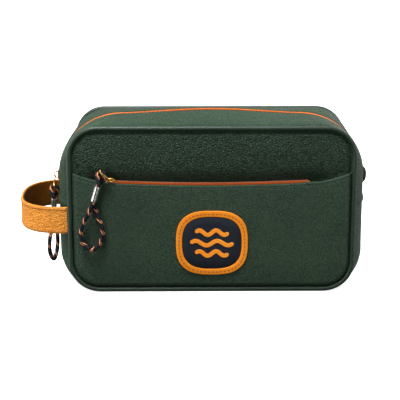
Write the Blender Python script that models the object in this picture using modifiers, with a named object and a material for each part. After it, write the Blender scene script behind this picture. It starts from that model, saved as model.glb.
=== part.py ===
"""Leather toiletry bag: piped panels, zipped mouth, zipped front pocket, cord zip pulls and a hand strap.

Metres, +Z up. X runs along the bag, the front faces -Y, and the origin is the middle of the base.
"""
import math

import bmesh
import bpy
from mathutils import Matrix, Vector

# Driving dimensions, in metres
WIDTH = 0.260
HEIGHT = 0.154
DEPTH = 0.106
SIDE_BULGE = 0.0115
TOP_CROWN = 0.0035
CROWN_POWER = 2.2
PIPING_DIAMETER = 0.0045
GAP = 0.0003

# Corner radii of the outlines
PIPING_RADIUS = 0.026
TOP_RADIUS = 0.058
BASE_RADIUS = 0.030
CORNER_STEPS = 7

# Material thicknesses
LEATHER = 0.0016
GUSSET_LEATHER = 0.0020
LINING = 0.0005
FOAM = 0.0015
TAPE = 0.0006

# Heights and depths of the main features
SEAM_Z = 0.079
GUSSET_EDGE_Y = 0.0482
GUSSET_EDGE_INSET = 0.0015
GUSSET_EDGE_RADIUS = 0.027
PIPING_Y = DEPTH / 2 - PIPING_DIAMETER / 2
FRONT_FACE_Y = -0.0520
POCKET_FACE_Y = -0.0539
POCKET_LINING_Y = -0.0467
LINING_SETBACK = 0.0010
LINING_INSET = 0.0016
FRONT_LINING_INSET = 0.0040
BASE_BOARD = (0.200, 0.084, 0.0020)

# Main zip
MOUTH_HALF_GAP = 0.0030
TEETH_HALF_WIDTH = 0.0024
TEETH_DEPTH = 0.0020
TAPE_WIDTH = 0.011
SLIDER_Z = 0.0985
END_TAB = (0.0048, 0.0032, 0.0160)
END_TAB_Y = 0.0045
END_TAB_Z = 0.0970

# Pocket zip
POCKET_ZIP_Z = 0.1048
POCKET_ZIP_LEFT = -0.093
POCKET_ZIP_RIGHT = 0.086
POCKET_TEETH_HALF_HEIGHT = 0.0012
POCKET_TEETH_DEPTH = 0.0018
POCKET_TEETH_Y = -0.0510
POCKET_TAPE_HEIGHT = 0.008
POCKET_SLIDER_X = -0.0890
POCKET_SLIDER_Z = 0.1060
ZIP_STOP = (0.0018, 0.0020, 0.0024)
ZIP_STOP_OFFSET = 0.0012
MOUTH_END_MARGIN = 0.002
MOUTH_RISE_POWER = 1.6
POCKET_EDGE_RISE = 0.0075
FRONT_EDGE_RISE = 0.0065

# Zip sliders and cord pulls
SLIDER_PLATE = (0.0086, 0.0014, 0.0050)
CROWN_WIRE_RADIUS = 0.0005
CORD_DIAMETER = 0.0040
FERRULE_WIDTH = 0.0052
FERRULE_DEPTH = 0.0090
PULL_Y = -0.0588
PULL_RING_RADIUS = 0.0032
PULL_EYE_RADIUS = 0.0022
PULL_WIRE_RADIUS = 0.0006
CROWN_HEIGHT = 0.0042
CROWN_HALF_LENGTH = 0.0030
POCKET_CROWN = (-0.0896, -0.0585, 0.1060)
POCKET_BAR_END = (-0.0984, -0.0628, 0.1129)
POCKET_RING = (-0.0983, -0.0588, 0.1138)
POCKET_FERRULE_TOP = (-0.1015, -0.0588, 0.1015)
POCKET_FERRULE_BOTTOM = (-0.1057, -0.0588, 0.0878)
MAIN_CROWN = (-0.1455, 0, 0.0979)
MAIN_BAR_END = (-0.1468, 0, 0.0904)
MAIN_RING = (-0.1468, 0, 0.0874)
MAIN_FERRULE_TOP = (-0.1475, 0, 0.0752)
MAIN_FERRULE_BOTTOM = (-0.1478, 0, 0.0615)

# Hand strap
STRAP_Z = 0.0685
STRAP_HEIGHT = 0.025
STRAP_OUTER = 0.0017
STRAP_INNER = 0.0008
STRAP_REACH = 0.047
STRAP_HALF_SPAN = 0.0470
STRAP_POWER = 2.6
STRAP_ROOT_X = -0.1302
STRAP_SEWN_X = -0.1316
STRAP_SPLIT_X = -0.1415

# Badge on the pocket
BADGE_Z = 0.0477
BADGE_HALF_WIDTH = 0.0324
BADGE_HALF_HEIGHT = 0.0300
BADGE_RIM = 0.0052
BADGE_POWER = 2.8
BADGE_RIM_THICKNESS = 0.0012
BADGE_FIELD_THICKNESS = 0.0008
WAVE_THICKNESS = 0.0005
WAVE_HALF_HEIGHT = 0.0019
WAVE_SWING = 0.0021
WAVES = ((1, 0.0098, 0.0150), (2, 0.0, 0.0195), (3, -0.0098, 0.0150))


def clear_scene():
    for item in list(bpy.data.objects):
        bpy.data.objects.remove(item, do_unlink=True)


def make_collection(name):
    group = bpy.data.collections.new(name)
    bpy.context.scene.collection.children.link(group)
    return group


def material(name, color, roughness, metallic=0.0):
    mat = bpy.data.materials.new(name)
    mat.use_nodes = True
    shader = mat.node_tree.nodes["Principled BSDF"]
    shader.inputs["Base Color"].default_value = (*color, 1.0)
    shader.inputs["Roughness"].default_value = roughness
    shader.inputs["Metallic"].default_value = metallic
    return mat


clear_scene()
BAG = make_collection("toiletry_bag")
GREEN = material("green_leather", (0.028, 0.055, 0.036), 0.55)
PIPING = material("green_piping", (0.022, 0.045, 0.030), 0.50)
TAN = material("tan_leather", (0.72, 0.28, 0.06), 0.55)
BROWN = material("brown_suede", (0.045, 0.015, 0.004), 0.85)
ORANGE = material("orange_zip", (0.78, 0.17, 0.02), 0.60)
NAVY = material("navy_leather", (0.014, 0.017, 0.026), 0.60)
LINING_GREY = material("grey_lining", (0.16, 0.16, 0.15), 0.90)
FOAM_WHITE = material("foam_board", (0.62, 0.60, 0.55), 0.95)
GOLD = material("gold_metal", (0.80, 0.52, 0.18), 0.28, 1.0)
SILVER = material("silver_metal", (0.72, 0.72, 0.72), 0.22, 1.0)
CORD = material("black_cord", (0.015, 0.015, 0.020), 0.80)
BLACK = material("black_webbing", (0.020, 0.016, 0.014), 0.75)


def link(name, data, mat):
    item = bpy.data.objects.new(name, data)
    data.materials.append(mat)
    BAG.objects.link(item)
    return item


def arc(centre_x, centre_z, radius, start, end, steps=CORNER_STEPS):
    """Points of an arc in the XZ plane, angles in degrees."""
    points = []
    for step in range(steps + 1):
        angle = math.radians(start + (end - start) * step / steps)
        points.append((centre_x + radius * math.cos(angle), centre_z + radius * math.sin(angle)))
    return points


def mirrored(points):
    return [(-x, z) for x, z in reversed(points)]


def rounded_rectangle(half_width, bottom, top, radius):
    right = arc(half_width - radius, bottom + radius, radius, -90, 0)
    right += arc(half_width - radius, top - radius, radius, 0, 90)
    return right + mirrored(right)


def superellipse(centre_x, centre_z, half_width, half_height, power, steps):
    points = []
    for step in range(steps):
        angle = 2 * math.pi * step / steps
        c = math.cos(angle)
        s = math.sin(angle)
        x = centre_x + half_width * math.copysign(abs(c) ** (2 / power), c)
        z = centre_z + half_height * math.copysign(abs(s) ** (2 / power), s)
        points.append((x, z))
    return points


def curve_data(name, splines, dimensions, cyclic):
    data = bpy.data.curves.new(name, "CURVE")
    data.dimensions = dimensions
    for points in splines:
        spline = data.splines.new("POLY")
        spline.points.add(len(points) - 1)
        for target, point in zip(spline.points, points):
            target.co = (*point, 1.0)
        spline.use_cyclic_u = cyclic
    return data


def flat_plate(name, outlines, centre_y, thickness, mat):
    """A flat sheet parallel to XZ. Outlines after the first are holes."""
    flat = [[(x, z, 0.0) for x, z in outline] for outline in outlines]
    data = curve_data(name, flat, "2D", True)
    data.fill_mode = "BOTH"
    data.extrude = thickness / 2
    item = link(name, data, mat)
    item.rotation_euler = (math.pi / 2, 0, 0)
    item.location = (0, centre_y, 0)
    return item


def tube(name, points, radius, mat, cyclic=False, resolution=2):
    data = curve_data(name, [points], "3D", cyclic)
    data.bevel_depth = radius
    data.bevel_resolution = resolution
    data.use_fill_caps = not cyclic
    return link(name, data, mat)


def block(name, centre, size, mat, bevel=0.0):
    mesh = bpy.data.meshes.new(name)
    shape = bmesh.new()
    bmesh.ops.create_cube(shape, size=1.0, matrix=Matrix.Diagonal((*size, 1.0)))
    shape.to_mesh(mesh)
    shape.free()
    item = link(name, mesh, mat)
    item.location = centre
    if bevel:
        edges = item.modifiers.new("Bevel", "BEVEL")
        edges.width = bevel
        edges.segments = 2
    return item


def smooth_route(points, count):
    """Evenly spaced points on a Catmull-Rom curve through the given points."""
    knots = [Vector(point) for point in points]
    knots = [2 * knots[0] - knots[1]] + knots + [2 * knots[-1] - knots[-2]]
    fine = []
    for k in range(1, len(knots) - 2):
        a, b, c, d = knots[k - 1:k + 3]
        for step in range(24):
            t = step / 24
            fine.append(0.5 * (2 * b + (c - a) * t + (2 * a - 5 * b + 4 * c - d) * t ** 2
                               + (3 * b - a - 3 * c + d) * t ** 3))
    fine.append(knots[-2])
    lengths = [0.0]
    for start, end in zip(fine, fine[1:]):
        lengths.append(lengths[-1] + (end - start).length)
    route = []
    k = 0
    for step in range(count):
        wanted = lengths[-1] * step / (count - 1)
        while k < len(fine) - 2 and lengths[k + 1] < wanted:
            k += 1
        share = (wanted - lengths[k]) / (lengths[k + 1] - lengths[k])
        route.append(fine[k].lerp(fine[k + 1], min(share, 1.0)))
    return route


# The gusset is a loft between the piping's outline and a fuller outline midway between the two pipings.
def upper_route(half_width, top, radius):
    """Outline from the left side seam over the top to the right side seam."""
    left = [(-half_width, SEAM_Z)] + arc(-half_width + radius, top - radius, radius, 180, 90)
    return left + mirrored(left)


def lower_route(half_width, bottom, radius):
    """Outline from the right side seam under the base to the left side seam."""
    right = [(half_width, SEAM_Z - GAP)] + arc(half_width - radius, bottom + radius, radius, 0, -90)
    return right + mirrored(right)


def gusset_routes(upper, inset):
    edge_half = WIDTH / 2 - GUSSET_EDGE_INSET - inset
    edge_radius = GUSSET_EDGE_RADIUS - inset
    middle_half = WIDTH / 2 + SIDE_BULGE - inset
    if upper:
        edge = upper_route(edge_half, HEIGHT - GUSSET_EDGE_INSET - inset, edge_radius)
        middle = upper_route(middle_half, HEIGHT + TOP_CROWN - inset, TOP_RADIUS - inset)
    else:
        edge = lower_route(edge_half, inset, edge_radius)
        middle = lower_route(middle_half, inset, BASE_RADIUS - inset)
    return edge, middle


def gusset_band(name, upper, y_start, y_end, inset, thickness, mat, rows=5):
    """A strip of the gusset between two depths, inset from its outer surface."""
    edge, middle = gusset_routes(upper, inset)
    mesh = bpy.data.meshes.new(name)
    shape = bmesh.new()
    grid = []
    for (edge_x, edge_z), (middle_x, middle_z) in zip(edge, middle):
        line = []
        for row in range(rows):
            y = y_start + (y_end - y_start) * row / (rows - 1)
            share = 1 - (abs(y) / GUSSET_EDGE_Y) ** CROWN_POWER
            x = edge_x + (middle_x - edge_x) * share
            z = edge_z + (middle_z - edge_z) * share
            line.append(shape.verts.new((x, y, z)))
        grid.append(line)
    for here, after in zip(grid, grid[1:]):
        for row in range(rows - 1):
            shape.faces.new((here[row], after[row], after[row + 1], here[row + 1]))
    shape.to_mesh(mesh)
    shape.free()
    item = link(name, mesh, mat)
    shell = item.modifiers.new("Solidify", "SOLIDIFY")
    shell.thickness = thickness
    shell.offset = -1.0
    shell.use_even_offset = True
    return item


def build_gussets():
    gusset_band("top_gusset_front", True, -GUSSET_EDGE_Y, -MOUTH_HALF_GAP, 0, GUSSET_LEATHER, GREEN)
    gusset_band("top_gusset_rear", True, MOUTH_HALF_GAP, GUSSET_EDGE_Y, 0, GUSSET_LEATHER, GREEN)
    gusset_band("base_gusset", False, -GUSSET_EDGE_Y, GUSSET_EDGE_Y, 0, GUSSET_LEATHER, GREEN, 9)
    inset = GUSSET_LEATHER + TAPE + 2 * GAP
    lining_y = GUSSET_EDGE_Y - LINING_SETBACK
    gusset_band("top_lining_front", True, -lining_y, -TAPE_WIDTH / 2, inset, LINING, LINING_GREY)
    gusset_band("top_lining_rear", True, TAPE_WIDTH / 2, lining_y, inset, LINING, LINING_GREY)
    gusset_band("base_lining", False, -lining_y, lining_y, inset, LINING, LINING_GREY, 9)
    board_z = inset + LINING + GAP + BASE_BOARD[2] / 2
    block("base_board", (0, 0, board_z), BASE_BOARD, FOAM_WHITE, 0.0004)


def build_main_zip():
    inset = GUSSET_LEATHER + GAP
    start = TEETH_HALF_WIDTH + GAP
    half_gap = GAP / 2
    gusset_band("main_zip_tape_front", True, -TAPE_WIDTH, -start, inset, TAPE, ORANGE, 2)
    gusset_band("main_zip_tape_rear", True, start, TAPE_WIDTH, inset, TAPE, ORANGE, 2)
    gusset_band("main_zip_teeth_front", True, -TEETH_HALF_WIDTH, -half_gap, GAP, TEETH_DEPTH, ORANGE, 2)
    gusset_band("main_zip_teeth_rear", True, half_gap, TEETH_HALF_WIDTH, GAP, TEETH_DEPTH, ORANGE, 2)


def panel_outline(inset):
    reach = WIDTH / 2 - PIPING_DIAMETER - GAP - inset
    bottom = PIPING_DIAMETER + 2 * GAP + inset
    top = HEIGHT - PIPING_DIAMETER - GAP - inset
    return rounded_rectangle(reach, bottom, top, PIPING_RADIUS - PIPING_DIAMETER / 2 - GAP - inset)


def pocket_edge(above_zip):
    """An edge of the pocket's mouth, left to right: straight along the zip and rising to the side seams."""
    reach = WIDTH / 2 - PIPING_DIAMETER - GAP
    height = POCKET_ZIP_Z - POCKET_TEETH_HALF_HEIGHT - GAP
    rise = POCKET_EDGE_RISE
    if above_zip:
        height = POCKET_ZIP_Z + POCKET_TEETH_HALF_HEIGHT + GAP
        rise = FRONT_EDGE_RISE
    points = []
    for side, end in ((-1, POCKET_ZIP_LEFT - MOUTH_END_MARGIN), (1, POCKET_ZIP_RIGHT + MOUTH_END_MARGIN)):
        half = []
        for step in range(5):
            share = step / 4
            x = end + (side * reach - end) * share
            half.append((x, height + rise * share ** MOUTH_RISE_POWER))
        points += half[::-1] if side < 0 else half
    return points


def build_panels():
    reach = WIDTH / 2 - PIPING_DIAMETER - GAP
    radius = PIPING_RADIUS - PIPING_DIAMETER / 2 - GAP
    bottom = PIPING_DIAMETER + 2 * GAP
    top = HEIGHT - PIPING_DIAMETER - GAP
    upper_arc = arc(reach - radius, top - radius, radius, 0, 90)
    flat_plate("front_panel", [pocket_edge(True) + upper_arc + mirrored(upper_arc)],
               FRONT_FACE_Y + LEATHER / 2, LEATHER, GREEN)
    lower_arc = arc(-reach + radius, bottom + radius, radius, 180, 270)
    flat_plate("front_pocket_panel", [lower_arc + mirrored(lower_arc) + pocket_edge(False)[::-1]],
               POCKET_FACE_Y + LEATHER / 2, LEATHER, GREEN)
    flat_plate("back_panel", [panel_outline(0)], -FRONT_FACE_Y - LEATHER / 2, LEATHER, GREEN)
    flat_plate("pocket_lining", [panel_outline(LINING_INSET)], POCKET_LINING_Y, LINING, LINING_GREY)
    foam_y = POCKET_LINING_Y + LINING / 2 + GAP + FOAM / 2
    lining_y = foam_y + FOAM / 2 + GAP + LINING / 2
    flat_plate("front_foam", [panel_outline(FRONT_LINING_INSET)], foam_y, FOAM, FOAM_WHITE)
    flat_plate("front_lining", [panel_outline(FRONT_LINING_INSET)], lining_y, LINING, LINING_GREY)
    foam_y = -FRONT_FACE_Y - LEATHER - GAP - FOAM / 2
    lining_y = foam_y - FOAM / 2 - GAP - LINING / 2
    flat_plate("back_foam", [panel_outline(LINING_INSET)], foam_y, FOAM, FOAM_WHITE)
    flat_plate("back_lining", [panel_outline(FRONT_LINING_INSET)], lining_y, LINING, LINING_GREY)


def build_piping():
    centre = PIPING_DIAMETER / 2
    outline = rounded_rectangle(WIDTH / 2 - centre, centre + GAP, HEIGHT - centre, PIPING_RADIUS)
    for name, y in (("front_piping", -PIPING_Y), ("back_piping", PIPING_Y)):
        tube(name, [(x, y, z) for x, z in outline], centre, PIPING, cyclic=True)


def build_pocket_zip():
    length = POCKET_ZIP_RIGHT - POCKET_ZIP_LEFT
    middle = (POCKET_ZIP_RIGHT + POCKET_ZIP_LEFT) / 2
    teeth = POCKET_TEETH_HALF_HEIGHT - GAP / 2
    for name, side in (("upper", 1), ("lower", -1)):
        centre = (middle, POCKET_TEETH_Y, POCKET_ZIP_Z + side * (GAP / 2 + teeth / 2))
        block("pocket_zip_teeth_" + name, centre, (length, POCKET_TEETH_DEPTH, teeth), ORANGE)
    behind_pocket = POCKET_FACE_Y + LEATHER + GAP + TAPE / 2
    behind_front = FRONT_FACE_Y + LEATHER + GAP + TAPE / 2
    offset = POCKET_TEETH_HALF_HEIGHT + GAP + POCKET_TAPE_HEIGHT / 2
    size = (length, TAPE, POCKET_TAPE_HEIGHT)
    block("pocket_zip_tape_lower", (middle, behind_pocket, POCKET_ZIP_Z - offset), size, ORANGE)
    block("pocket_zip_tape_upper", (middle, behind_front, POCKET_ZIP_Z + offset), size, ORANGE)
    stops = {"left": POCKET_ZIP_LEFT - ZIP_STOP_OFFSET, "right": POCKET_ZIP_RIGHT + ZIP_STOP_OFFSET}
    for name, x in stops.items():
        block("pocket_zip_stop_" + name, (x, POCKET_TEETH_Y, POCKET_ZIP_Z), ZIP_STOP, GOLD, 0.0003)


def joined(name, pieces, mat):
    """One closed body made of overlapping primitives."""
    first = pieces[0]
    for piece in pieces[1:]:
        union = first.modifiers.new("Union", "BOOLEAN")
        union.operation = "UNION"
        union.object = piece
        piece.hide_render = True
        piece.display_type = "WIRE"
        BAG.objects.unlink(piece)
        CUTTERS.objects.link(piece)
    first.name = name
    first.data.materials.clear()
    first.data.materials.append(mat)
    return first


def wire_ring(centre, axis, radius, wire):
    """A closed ring about an axis through its centre."""
    turn = Vector((0, 0, 1)).rotation_difference(Vector(axis).normalized()).to_matrix()
    points = []
    for step in range(16):
        angle = 2 * math.pi * step / 16
        spoke = Vector((math.cos(angle), math.sin(angle), 0))
        points.append(Vector(centre) + turn @ spoke * radius)
    curve = tube("ring", points, wire, GOLD, cyclic=True, resolution=1)
    return as_mesh(curve)


def as_mesh(curve):
    """The curve's solid as a mesh object with welded caps."""
    graph = bpy.context.evaluated_depsgraph_get()
    mesh = bpy.data.meshes.new_from_object(curve.evaluated_get(graph))
    shape = bmesh.new()
    shape.from_mesh(mesh)
    bmesh.ops.remove_doubles(shape, verts=shape.verts, dist=0.000001)
    bmesh.ops.recalc_face_normals(shape, faces=shape.faces)
    shape.to_mesh(mesh)
    shape.free()
    item = bpy.data.objects.new(curve.name, mesh)
    item.matrix_world = curve.matrix_world
    BAG.objects.link(item)
    bpy.data.objects.remove(curve, do_unlink=True)
    return item


def rod(start, end, radius):
    return as_mesh(tube("rod", [start, end], radius, GOLD, resolution=1))


def puller(name, crown, hinge_axis, bar_end, ring_centre, ring_axis):
    """A bar with an eye round the slider's crown and a ring round the cord."""
    crown = Vector(crown)
    bar_end = Vector(bar_end)
    direction = (bar_end - crown).normalized()
    eye_axis = direction.cross(Vector(hinge_axis))
    eye_centre = crown + direction * PULL_EYE_RADIUS * 0.9
    eye = wire_ring(eye_centre, eye_axis, PULL_EYE_RADIUS, PULL_WIRE_RADIUS * 0.7)
    bar = rod(crown + direction * PULL_EYE_RADIUS * 1.8, bar_end, PULL_WIRE_RADIUS * 1.2)
    ring = wire_ring(ring_centre, ring_axis, PULL_RING_RADIUS, PULL_WIRE_RADIUS)
    joined(name, [ring, bar, eye], GOLD)


def slider(name, base, along, outward):
    """A zip slider's top plate, and its crown: an arch that runs along the zip."""
    along = Vector(along)
    outward = Vector(outward)
    plate = block(name + "_plate", base, SLIDER_PLATE, GOLD, 0.0005)
    turn = Matrix((along, -outward, along.cross(-outward))).transposed()
    plate.rotation_euler = turn.to_euler()
    foot = Vector(base) + outward * (SLIDER_PLATE[1] / 2 + GAP)
    points = []
    for step in range(9):
        angle = math.pi * step / 8
        reach = along * CROWN_HALF_LENGTH * math.cos(angle)
        points.append(foot + reach + outward * CROWN_HEIGHT * math.sin(angle))
    tube(name + "_crown", points, CROWN_WIRE_RADIUS, GOLD, resolution=1)


def ferrule(name, top, bottom):
    """A flattened metal sleeve round both strands."""
    top = Vector(top)
    bottom = Vector(bottom)
    axis = (top - bottom).normalized()
    points = [(FERRULE_WIDTH / 2 * math.cos(a), FERRULE_DEPTH / 2 * math.sin(a), 0.0)
              for a in (2 * math.pi * step / 20 for step in range(20))]
    data = curve_data(name, [points], "2D", True)
    data.fill_mode = "BOTH"
    data.extrude = (top - bottom).length / 2
    item = link(name, data, SILVER)
    item.rotation_euler = Vector((0, 0, 1)).rotation_difference(axis).to_euler()
    item.location = (top + bottom) / 2
    return item


# Routes of the cords, as (x, y, z) offsets in metres from each pull's own plane
POCKET_LOOP = [
    (-0.1059, -0.00215, 0.0873), (-0.1064, -0.00215, 0.0857), (-0.1088, -0.0018, 0.0802),
    (-0.1136, -0.0008, 0.0705), (-0.1174, 0.0000, 0.0600), (-0.1162, 0.0000, 0.0490),
    (-0.1083, 0.0000, 0.0426), (-0.1004, 0.0000, 0.0490), (-0.0983, 0.0000, 0.0600),
    (-0.1010, 0.0003, 0.0705), (-0.1046, 0.0014, 0.0802), (-0.1064, 0.00215, 0.0857),
    (-0.1059, 0.00215, 0.0873),
]
POCKET_EYE = [
    (-0.1014, -0.00215, 0.1020), (-0.1010, -0.00215, 0.1036), (-0.1015, -0.0012, 0.1080),
    (-0.1008, 0.0000, 0.1122), (-0.0983, 0.0000, 0.1138), (-0.0958, 0.0000, 0.1120),
    (-0.0958, 0.0010, 0.1080), (-0.0990, 0.0019, 0.1046), (-0.1010, 0.00215, 0.1036),
    (-0.1014, 0.00215, 0.1020),
]
MAIN_LOOP = [
    (-0.1478, -0.00215, 0.0611), (-0.1478, -0.00220, 0.0595), (-0.1488, -0.0034, 0.0530),
    (-0.1508, -0.0066, 0.0430), (-0.1522, -0.0088, 0.0330), (-0.1516, -0.0068, 0.0225),
    (-0.1491, 0.0000, 0.0160), (-0.1470, 0.0068, 0.0225), (-0.1462, 0.0088, 0.0330),
    (-0.1466, 0.0066, 0.0430), (-0.1473, 0.0034, 0.0530), (-0.1478, 0.00220, 0.0595),
    (-0.1478, 0.00215, 0.0611),
]
MAIN_EYE = [
    (-0.1475, -0.00215, 0.0756), (-0.1475, -0.00215, 0.0772), (-0.1494, -0.0014, 0.0815),
    (-0.1492, 0.0000, 0.0860), (-0.1468, 0.0000, 0.0874), (-0.1444, 0.0000, 0.0858),
    (-0.1444, 0.0012, 0.0815), (-0.1466, 0.0019, 0.0785), (-0.1475, 0.00215, 0.0772),
    (-0.1475, 0.00215, 0.0756),
]


def cord(name, route, plane_y, count):
    points = smooth_route([(x, plane_y + y, z) for x, y, z in route], count)
    tube(name, points, CORD_DIAMETER / 2, CORD)


def build_pocket_pull():
    base = (POCKET_SLIDER_X, POCKET_FACE_Y - GAP - SLIDER_PLATE[1] / 2, POCKET_SLIDER_Z)
    slider("pocket_slider", base, (1, 0, 0), (0, -1, 0))
    puller("pocket_puller", POCKET_CROWN, (0, 0, 1), POCKET_BAR_END, POCKET_RING, (1, 0, 0))
    cord("pocket_pull_eye", POCKET_EYE, PULL_Y, 16)
    ferrule("pocket_pull_ferrule", POCKET_FERRULE_TOP, POCKET_FERRULE_BOTTOM)
    cord("pocket_pull_cord", POCKET_LOOP, PULL_Y, 28)


def build_main_pull():
    base = (-WIDTH / 2 - SIDE_BULGE - GAP - SLIDER_PLATE[1] / 2, 0, SLIDER_Z)
    slider("main_slider", base, (0, 0, 1), (-1, 0, 0))
    puller("main_puller", MAIN_CROWN, (0, 1, 0), MAIN_BAR_END, MAIN_RING, (1, 0, 0))
    cord("main_pull_eye", MAIN_EYE, 0, 16)
    ferrule("main_pull_ferrule", MAIN_FERRULE_TOP, MAIN_FERRULE_BOTTOM)
    cord("main_pull_cord", MAIN_LOOP, 0, 28)


def strap_path(inset, first, last, steps):
    """Plan outline of the strap at an inset from its outer face, between two angles in degrees."""
    reach = STRAP_REACH - inset
    span = STRAP_HALF_SPAN - inset
    points = []
    for step in range(steps + 1):
        angle = math.radians(first + (last - first) * step / steps)
        c = math.cos(angle)
        s = math.sin(angle)
        x = STRAP_ROOT_X - reach * math.copysign(abs(c) ** (2 / STRAP_POWER), c)
        y = span * math.copysign(abs(s) ** (2 / STRAP_POWER), s)
        points.append((x, y, 0.0))
    return points


def strap_angle(inset, x):
    """Angle at which the strap's outline passes the given x."""
    share = (STRAP_ROOT_X - x) / (STRAP_REACH - inset)
    return math.degrees(math.acos(share ** (STRAP_POWER / 2)))


def strap_piece(name, outer_inset, inner_inset, x_start, x_end, sides, mat):
    """An upright band between two insets. With both sides it runs round the loop from x_start."""
    if sides == "both":
        outer_angle = strap_angle(outer_inset, x_start)
        inner_angle = strap_angle(inner_inset, x_start)
        outer = strap_path(outer_inset, -outer_angle, outer_angle, 20)
        inner = strap_path(inner_inset, -inner_angle, inner_angle, 20)
    else:
        outer = strap_path(outer_inset, sides * strap_angle(outer_inset, x_start),
                           sides * strap_angle(outer_inset, x_end), 2)
        inner = strap_path(inner_inset, sides * strap_angle(inner_inset, x_start),
                           sides * strap_angle(inner_inset, x_end), 2)
    data = curve_data(name, [outer + inner[::-1]], "2D", True)
    data.fill_mode = "BOTH"
    data.extrude = STRAP_HEIGHT / 2
    item = link(name, data, mat)
    item.location = (0, 0, STRAP_Z)
    return item


def build_strap():
    inner_face = STRAP_OUTER + GAP + STRAP_INNER
    strap_piece("hand_strap", 0, STRAP_OUTER, STRAP_SPLIT_X, None, "both", TAN)
    strap_piece("hand_strap_lining", STRAP_OUTER + GAP, inner_face, STRAP_SPLIT_X, None, "both", BROWN)
    for name, side in (("front", -1), ("rear", 1)):
        strap_piece("hand_strap_root_" + name, 0, inner_face, STRAP_SEWN_X, STRAP_SPLIT_X + GAP, side, TAN)


def build_zip_end_tab():
    """A folded tab sewn into the rear edge of the zip on the right side."""
    x = WIDTH / 2 + SIDE_BULGE + END_TAB[0] / 2
    block("zip_end_tab", (x, END_TAB_Y, END_TAB_Z), END_TAB, BLACK, 0.0010)


def wave_outline(centre_z, half_width, half_height, swing, waves, steps):
    """A wavy bar: two parallel sine curves with square ends."""
    upper = []
    for step in range(steps + 1):
        share = step / steps
        x = -half_width + 2 * half_width * share
        z = centre_z + swing * math.sin(2 * math.pi * waves * share)
        upper.append((x, z + half_height))
    lower = [(x, z - 2 * half_height) for x, z in reversed(upper)]
    return upper + lower


def build_badge():
    outer = superellipse(0, BADGE_Z, BADGE_HALF_WIDTH, BADGE_HALF_HEIGHT, BADGE_POWER, 48)
    inner_width = BADGE_HALF_WIDTH - BADGE_RIM
    inner_height = BADGE_HALF_HEIGHT - BADGE_RIM
    inner = superellipse(0, BADGE_Z, inner_width, inner_height, BADGE_POWER, 48)
    field = superellipse(0, BADGE_Z, inner_width - GAP, inner_height - GAP, BADGE_POWER, 48)
    back = POCKET_FACE_Y - GAP
    flat_plate("badge_rim", [outer, inner], back - BADGE_RIM_THICKNESS / 2, BADGE_RIM_THICKNESS, TAN)
    flat_plate("badge_field", [field], back - BADGE_FIELD_THICKNESS / 2, BADGE_FIELD_THICKNESS, NAVY)
    mark_y = back - BADGE_FIELD_THICKNESS - GAP - WAVE_THICKNESS / 2
    for number, offset, half_width in WAVES:
        outline = wave_outline(BADGE_Z + offset, half_width, WAVE_HALF_HEIGHT, WAVE_SWING, 2, 24)
        flat_plate("badge_wave_" + str(number), [outline], mark_y, WAVE_THICKNESS, ORANGE)


CUTTERS = make_collection("cutters")
build_gussets()
build_main_zip()
build_panels()
build_piping()
build_pocket_zip()
build_pocket_pull()
build_main_pull()
build_strap()
build_zip_end_tab()
build_badge()
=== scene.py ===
"""Looks of the toiletry bag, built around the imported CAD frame. Metres, +Z up, front towards -Y."""
import math

import bpy
import numpy as np
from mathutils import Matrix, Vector


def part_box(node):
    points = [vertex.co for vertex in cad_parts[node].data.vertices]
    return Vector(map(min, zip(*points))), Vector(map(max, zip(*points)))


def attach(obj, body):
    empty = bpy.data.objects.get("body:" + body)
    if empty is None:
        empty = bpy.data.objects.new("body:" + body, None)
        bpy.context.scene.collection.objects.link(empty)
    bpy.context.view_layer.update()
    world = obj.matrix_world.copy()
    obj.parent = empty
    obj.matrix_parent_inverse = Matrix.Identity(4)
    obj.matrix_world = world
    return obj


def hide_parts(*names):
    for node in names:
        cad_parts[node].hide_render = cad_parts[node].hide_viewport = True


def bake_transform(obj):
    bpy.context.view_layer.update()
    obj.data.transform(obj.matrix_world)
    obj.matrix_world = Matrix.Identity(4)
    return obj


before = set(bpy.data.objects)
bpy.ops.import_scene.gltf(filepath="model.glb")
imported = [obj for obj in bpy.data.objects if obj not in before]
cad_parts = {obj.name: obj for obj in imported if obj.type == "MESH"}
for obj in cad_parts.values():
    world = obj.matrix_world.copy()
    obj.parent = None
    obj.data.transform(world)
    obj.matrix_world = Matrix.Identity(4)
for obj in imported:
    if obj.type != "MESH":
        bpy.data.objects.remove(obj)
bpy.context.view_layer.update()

# ---------------------------------------------------------------- sizes from the frame
PIPING_LOW, PIPING_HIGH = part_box("front_piping")
HALF_WIDTH = PIPING_HIGH.x
HEIGHT = PIPING_HIGH.z
PIPING_R = (PIPING_HIGH.y - PIPING_LOW.y) / 2
PIPING_Y = -(PIPING_HIGH.y + PIPING_LOW.y) / 2
PIPING_FLOOR = PIPING_LOW.z
GUSSET_EDGE_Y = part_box("base_gusset")[1].y
GUSSET_END_Y = GUSSET_EDGE_Y + 0.0021      # the leather is sewn in under the piping
TOP_LOW, TOP_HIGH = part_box("top_gusset_front")
SEAM_Z = TOP_LOW.z
MIDDLE_HALF = TOP_HIGH.x
MIDDLE_TOP = TOP_HIGH.z
MOUTH_EDGE_Y = -TOP_HIGH.y
TEETH_LOW, TEETH_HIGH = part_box("pocket_zip_teeth_lower")
POCKET_ZIP_Z = (TEETH_LOW.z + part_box("pocket_zip_teeth_upper")[1].z) / 2
POCKET_ZIP_X = (TEETH_LOW.x, TEETH_HIGH.x)
POCKET_FACE_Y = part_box("front_pocket_panel")[0].y
FRONT_FACE_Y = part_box("front_panel")[0].y
BACK_LOW, BACK_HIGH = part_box("back_panel")
BACK_FACE_Y = BACK_HIGH.y
PANEL_HALF = BACK_HIGH.x
PANEL_LOW = BACK_LOW.z
PANEL_TOP = BACK_HIGH.z
STRAP_LOW, STRAP_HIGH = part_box("hand_strap")
STRAP_Z = (STRAP_LOW.z + STRAP_HIGH.z) / 2
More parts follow.
